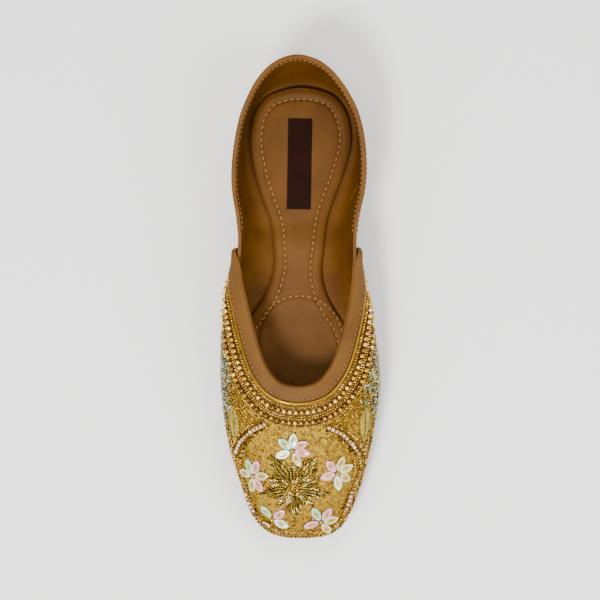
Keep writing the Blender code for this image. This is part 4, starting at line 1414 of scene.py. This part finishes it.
def throat_level_safe(walk):
    """The level that scattered beads stay below: none lie behind the wings' top."""
    inside = abs(walk) < walk_at(WING_ROUND_START)
    return np.where(inside, throat_level(walk), np.where(abs(walk) < walk_at(WING_TOP), 1.25, 0.0))


def sew_side_patches():
    """Glinting teal bugles along both sides, the pale ones a painted highlight for white glints, and the
    yellow-green leaves ahead of them.
    """
    bugles = Trimming("side_bugles", TUBE, TEALS)
    leaves = Trimming("side_leaves", TUBE, LEAF_GREENS)
    for side, first, last in ((-1, -70, -16), (1, -72, -12)):
        count = PATCH_COUNT
        y = dice.uniform(first, last, count) * MM
        walk = side * np.interp(y, (TOE_PIVOT, HEEL_PIVOT), (TOE_PART, SIDE_PART))
        fan = y < TOE_PIVOT
        belly = BELLY.half_width(y, side)
        walk = np.where(fan, np.arctan2(side * belly, TOE_PIVOT - y) * 2 / math.pi * TOE_PART, walk)
        middle = 0.90 + 0.22 * np.sin((y / MM - first) / (last - first) * math.pi)
        level = middle + dice.normal(0, 0.16, count)
        level = np.clip(level, 0.55, 1.42)
        clear = past_throat_rows(walk, level)
        walk, level = walk[clear], level[clear]
        count = len(walk)
        spots, along, up, out = surface_frame(walk, level)
        turn = dice.uniform(0, math.pi, (count, 1))
        aim = along * np.cos(turn) + up * np.sin(turn)
        sizes = np.column_stack([dice.uniform(1.6, 2.8, count), np.ones((count, 2))]) * MM
        tints = dice.choice(4, count, p=(0.36, 0.26, 0.22, 0.16))
        tilt = unit(out + 0.3 * dice.normal(0, 1, out.shape))
        bugles.add(spots + out * 0.55 * MM, aim, tilt, sizes, tints)
        for share in np.linspace(0, 1, 34):
            width = 3.6 * math.sin(math.pi * min(share * 0.92 + 0.06, 1)) * MM
            x, at = side * (37.6 - 1.2 * share), -60.5 - 20.5 * share
            for lean in (-1, 1):
                spots, east, north, out = plan_frame(x * MM + lean * width * 0.42, at * MM)
                slant = math.radians(90 - lean * 48)
                aim = east * math.cos(slant) + north * math.sin(slant)
                size = np.array([width * 1.25, 0.75 * MM, 0.5 * MM])
                leaves.add(spots + out * 0.3 * MM, aim, out, size, int(dice.integers(0, 2)))
    bugles.sew()
    leaves.sew()


braid = keep_above(inward_curve(EDGE, BAND_WIDTH + 0.0012), 0.12)
ribbon("throat_braid", braid, 0.0014, 0.0006, GOLD_BEADS[OLD])
sew_flowers()
sew_starburst()
sew_arches()
sew_toe_rows()
sew_corner_rows()
sew_ground()
sew_side_patches()


# The dark brown is painted shade: it stands for the holes that stitches and pin leave.
THREADS = finishes(
    ("thread_pale_tan", (158, 114, 62), 0.6, 0.0), ("thread_tan", (112, 72, 30), 0.6, 0.0),
    ("stitch_hole_painted_shade", (58, 34, 14), 0.8, 0.0),
)
PALE_THREAD, TAN_THREAD, HOLE_SHADE = range(3)


def stitch_line(trimming, spots, out, pitch, length, width, thread, lift):
    """Sunk stitches at equal steps along the points, with a dark dot between each two, painted shade for the
    needle hole.
    """
    run = run_along(spots)
    count = int(run[-1] / pitch)
    for shift, sizes, pick in (
        (0.5, (length / 2, width / 2, width / 2), thread),
        (1.0, (width * 0.55, width * 0.55, width * 0.3), HOLE_SHADE),
    ):
        at = (np.arange(count) + shift) * pitch
        here, normal = sampled(at, run, spots), unit(sampled(at, run, out))
        along = unit(np.gradient(here, axis=0))
        trimming.add(here + normal * lift, along, normal, np.array(sizes), pick)


def sock_line(x, y):
    """Points on the sock over places in plan, and straight up from them."""
    spots = np.column_stack([x, y, sock_height(x, y)])
    return spots, np.tile([0.0, 0.0, 1.0], (len(spots), 1))


SOCK_STITCH = (0.0036, 0.0023, 0.0006, PALE_THREAD, 0.0001)
PIN_SPOT = (-0.0034, 0.0405)


def sew_sock():
    """Stitches in the sock's grooves, and a dark dot of painted shade for the pin's hole."""
    stitches = Trimming("sock_stitches", BALL, THREADS, "sock_leather")
    inner = offset_outline(INSOLE.curve, -STITCH_INSET)
    inside = np.vstack([inner, inner[:1]])
    spots, out = sock_line(inside[:, 0], inside[:, 1])
    stitch_line(stitches, spots, out, *SOCK_STITCH)
    turn = np.linspace(math.radians(8), math.radians(172), 90)
    x = PAD_CENTRE[0] + PAD_RADIUS * np.cos(turn)
    y = PAD_CENTRE[1] + PAD_RADIUS * np.sin(turn)
    spots, out = sock_line(x, y)
    stitch_line(stitches, spots, out, *SOCK_STITCH)
    pin = np.array([PIN_SPOT])
    spots, out = sock_line(pin[:, 0], pin[:, 1])
    stitches.add(spots, np.array([[1.0, 0, 0]]), out, np.array([0.0005, 0.0005, 0.0002]), HOLE_SHADE)
    stitches.sew()


def sew_band_stitches():
    """The seam along the band's outer edge."""
    holes = Trimming("band_stitches", BALL, THREADS, "band_leather")
    curve = keep_above(inward_curve(EDGE, BAND_WIDTH - 0.0015), 0.1)
    spots, _, _, out = surface_frame(*curve.T, -BAND_STEP)
    stitch_line(holes, spots, out, 0.0030, 0.0018, 0.0007, TAN_THREAD, 0.00005)
    holes.sew()


def sew_binding_stitches():
    """The seam that holds the binding, seen on both faces."""
    stitches = Trimming("binding_stitches", BALL, THREADS, "binding_leather")
    start = walk_at(WING_FOOT) + 0.02
    walk = np.linspace(start, 2 - start, 500)
    z = top_line(walk) - BINDING_WIDTH * 0.82
    inset = soft_inset(walk, np.ones_like(walk))
    for depth, turned in ((-BINDING_STEP, 1), (QUARTER_WALL + BINDING_STEP * 0.6, -1)):
        level = level_at_height(walk, z, inset + depth)
        spots, _, _, out = surface_frame(walk, level, inset + depth)
        stitch_line(stitches, spots, out * turned, 0.0027, 0.0017, 0.0005, PALE_THREAD, 0.0001)
    stitches.sew()


LABEL_SIZE = (0.0138, 0.052)
LABEL_SPOT = (-0.0005, 0.078)
LABEL_TURN = math.radians(-1.0)
LABEL_THICKNESS = 0.00035


def make_label():
    """A bare dark patch lying on the sock, following its crown."""
    brown = leather("label_dark_brown", (27, 8, 3), (33, 11, 4), 0.6, gloss=0.05)
    across = np.linspace(-0.5, 0.5, 9) * LABEL_SIZE[0]
    rings = []
    for along in np.linspace(-0.5, 0.5, 27) * LABEL_SIZE[1]:
        x = LABEL_SPOT[0] + across * math.cos(LABEL_TURN) - along * math.sin(LABEL_TURN)
        y = LABEL_SPOT[1] + across * math.sin(LABEL_TURN) + along * math.cos(LABEL_TURN)
        top = np.column_stack([x, y, sock_height(x, y) + LABEL_THICKNESS])
        low = top - (0, 0, LABEL_THICKNESS + 0.0001)
        rings.append(np.vstack([top, low[::-1]]))
    return place(shell("label_patch", rings, 9, [brown, brown]), "sock_leather")


MARK_SPOT = (-0.0028, 0.0333)
MARK_RADIUS = 0.0055
MARK_PROUD = 0.0003
MARK_LINE = 0.0004
MARK_LETTER = 0.0085


def make_size_mark():
    """A ring with a plain 7, raised on the sole's waist."""
    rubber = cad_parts["outsole"].data.materials[0]
    z = float(sole_underside(MARK_SPOT[1]))
    ahead, behind = (float(sole_underside(MARK_SPOT[1] + shift)) for shift in (0.004, -0.004))
    slope = math.atan2(ahead - behind, 0.008)
    section = np.linspace(0, 2 * math.pi, 9)[:-1]
    rings = []
    for turn in np.linspace(0, 2 * math.pi, 49)[:-1]:
        aim = np.array([math.cos(turn), math.sin(turn), 0.0])
        spot = np.array([*MARK_SPOT, z]) + aim * MARK_RADIUS
        spot[2] = float(sole_underside(spot[1]))
        bows = [aim * MARK_LINE * math.cos(t) - (0, 0, MARK_PROUD * math.sin(t)) for t in section]
        rings.append([spot + bow for bow in bows])
    rings = np.array(rings)
    count, around = rings.shape[:2]
    faces = []
    for i in range(count):
        for j in range(around):
            k, n = (j + 1) % around, (i + 1) % count
            faces.append((i * around + j, i * around + k, n * around + k, n * around + j))
    ring = facing_out(new_object("size_ring", rings.reshape(-1, 3), faces, [rubber]))
    place(ring, "sole_rubber")
    text = bpy.data.curves.new("size_number", "FONT")
    text.body = "7"
    text.size = MARK_LETTER
    text.extrude = MARK_PROUD
    text.align_x = text.align_y = "CENTER"
    number = bpy.data.objects.new("size_number", text)
    number.data.materials.append(rubber)
    number.location = (*MARK_SPOT, z)
    number.rotation_euler = (math.pi + slope, 0, 0)
    bpy.context.scene.collection.objects.link(number)
    place(number, "sole_rubber")


TREAD_PITCH = 0.00175
TREAD_START = SOLE_TOE_END + 0.011
TREAD_END = SOLE_TOE_END + 0.134
BREAST = SOLE_TOE_END + BREAST_SHARE * SOLE_LENGTH


def tread_material():
    """Brown rubber with a fine lattice of sunk diamonds under the forefoot and the heel, the diamonds
    painted darker as the shade in their recesses.
    """
    rubber = new_material("brown_unit_rubber", linear(107, 81, 60), 0.62)
    nodes, links = rubber.node_tree.nodes, rubber.node_tree.links

    def maths(operation, *values):
        node = nodes.new("ShaderNodeMath")
        node.operation = operation
        for socket, value in zip(node.inputs, values):
            if isinstance(value, bpy.types.NodeSocket):
                links.new(value, socket)
            else:
                socket.default_value = value
        return node.outputs[0]

    x = texture_of(rubber, "ShaderNodeSeparateXYZ", "X")
    y = x.node.outputs["Y"]
    step = TREAD_PITCH * math.sqrt(2)
    one = maths("PINGPONG", maths("DIVIDE", maths("ADD", x, y), step), 0.5)
    two = maths("PINGPONG", maths("DIVIDE", maths("SUBTRACT", x, y), step), 0.5)
    diamond = maths("LESS_THAN", maths("MAXIMUM", one, two), 0.27)
    normal = outlet_of(rubber, "ShaderNodeNewGeometry", "Normal")
    under = maths("LESS_THAN", outlet_of(rubber, "ShaderNodeSeparateXYZ", "Z", Vector=normal), -0.8)
    forefoot = maths("MULTIPLY", maths("GREATER_THAN", y, TREAD_START), maths("LESS_THAN", y, TREAD_END))
    treaded = maths("MAXIMUM", forefoot, maths("GREATER_THAN", y, BREAST + 0.003))
    sunk_tread_and_shade = maths("MULTIPLY", diamond, maths("MULTIPLY", treaded, under))
    # Painted shade: the sunk diamonds take a darker brown than the rubber around them.
    mix = nodes.new("ShaderNodeMix")
    mix.data_type = "RGBA"
    mix.inputs[6].default_value = linear(104, 72, 48)
    mix.inputs[7].default_value = linear(58, 36, 22)
    links.new(sunk_tread_and_shade, mix.inputs[0])
    to_shader(rubber, mix.outputs[2], "Base Color")
    return bumped(rubber, sunk_tread_and_shade, 0.7, 0.0004, sunk=True)


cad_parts["outsole"].data.materials[0] = tread_material()
sew_sock()
sew_band_stitches()
sew_binding_stitches()
make_label()
make_size_mark()


FLOOR_SIZE = 6
FLOOR_DROP = -0.0002
SKY_STRENGTH = 0.9
# Name, place, size and power of each light.
LIGHTS = (
    ("key", (-0.35, -0.55, 1.15), 0.35, 22.0),
    ("fill", (0.8, -0.3, 0.9), 0.9, 9.0),
    ("back", (0.1, 0.9, 0.9), 0.7, 6.0),
)
CAMERA_LENS = 103
CAMERA_SPOT = (0.0458, 0.0132, 1.0)
CAMERA_AIM = (0, 0, 0.02)


def make_stage():
    """Pale floor, soft lights and the photo's high camera."""
    bpy.ops.mesh.primitive_plane_add(size=FLOOR_SIZE, location=(0, 0, FLOOR_DROP))
    floor = bpy.context.object
    floor.name = "floor"
    pale = new_material("pale_floor", linear(250, 249, 247), 0.75)
    floor.data.materials.append(pale)
    world = bpy.data.worlds.new("studio")
    bpy.context.scene.world = world
    world.use_nodes = True
    background = world.node_tree.nodes["Background"]
    background.inputs["Color"].default_value = (1.0, 1.0, 1.0, 1.0)
    background.inputs["Strength"].default_value = SKY_STRENGTH
    for name, spot, size, power in LIGHTS:
        lamp = bpy.data.lights.new(name, "AREA")
        lamp.size = size
        lamp.energy = power
        made = bpy.data.objects.new(name, lamp)
        made.location = spot
        made.rotation_euler = (-Vector(spot)).to_track_quat("-Z", "Y").to_euler()
        bpy.context.scene.collection.objects.link(made)
    camera = bpy.data.cameras.new("camera")
    camera.lens = CAMERA_LENS
    camera.sensor_width = 36
    made = bpy.data.objects.new("camera", camera)
    made.location = CAMERA_SPOT
    back = (made.location - Vector(CAMERA_AIM)).normalized()
    right = Vector((0, 1, 0)).cross(back).normalized()
    made.rotation_euler = Matrix((right, back.cross(right), back)).transposed().to_euler()
    bpy.context.scene.collection.objects.link(made)
    bpy.context.scene.camera = made


make_stage()
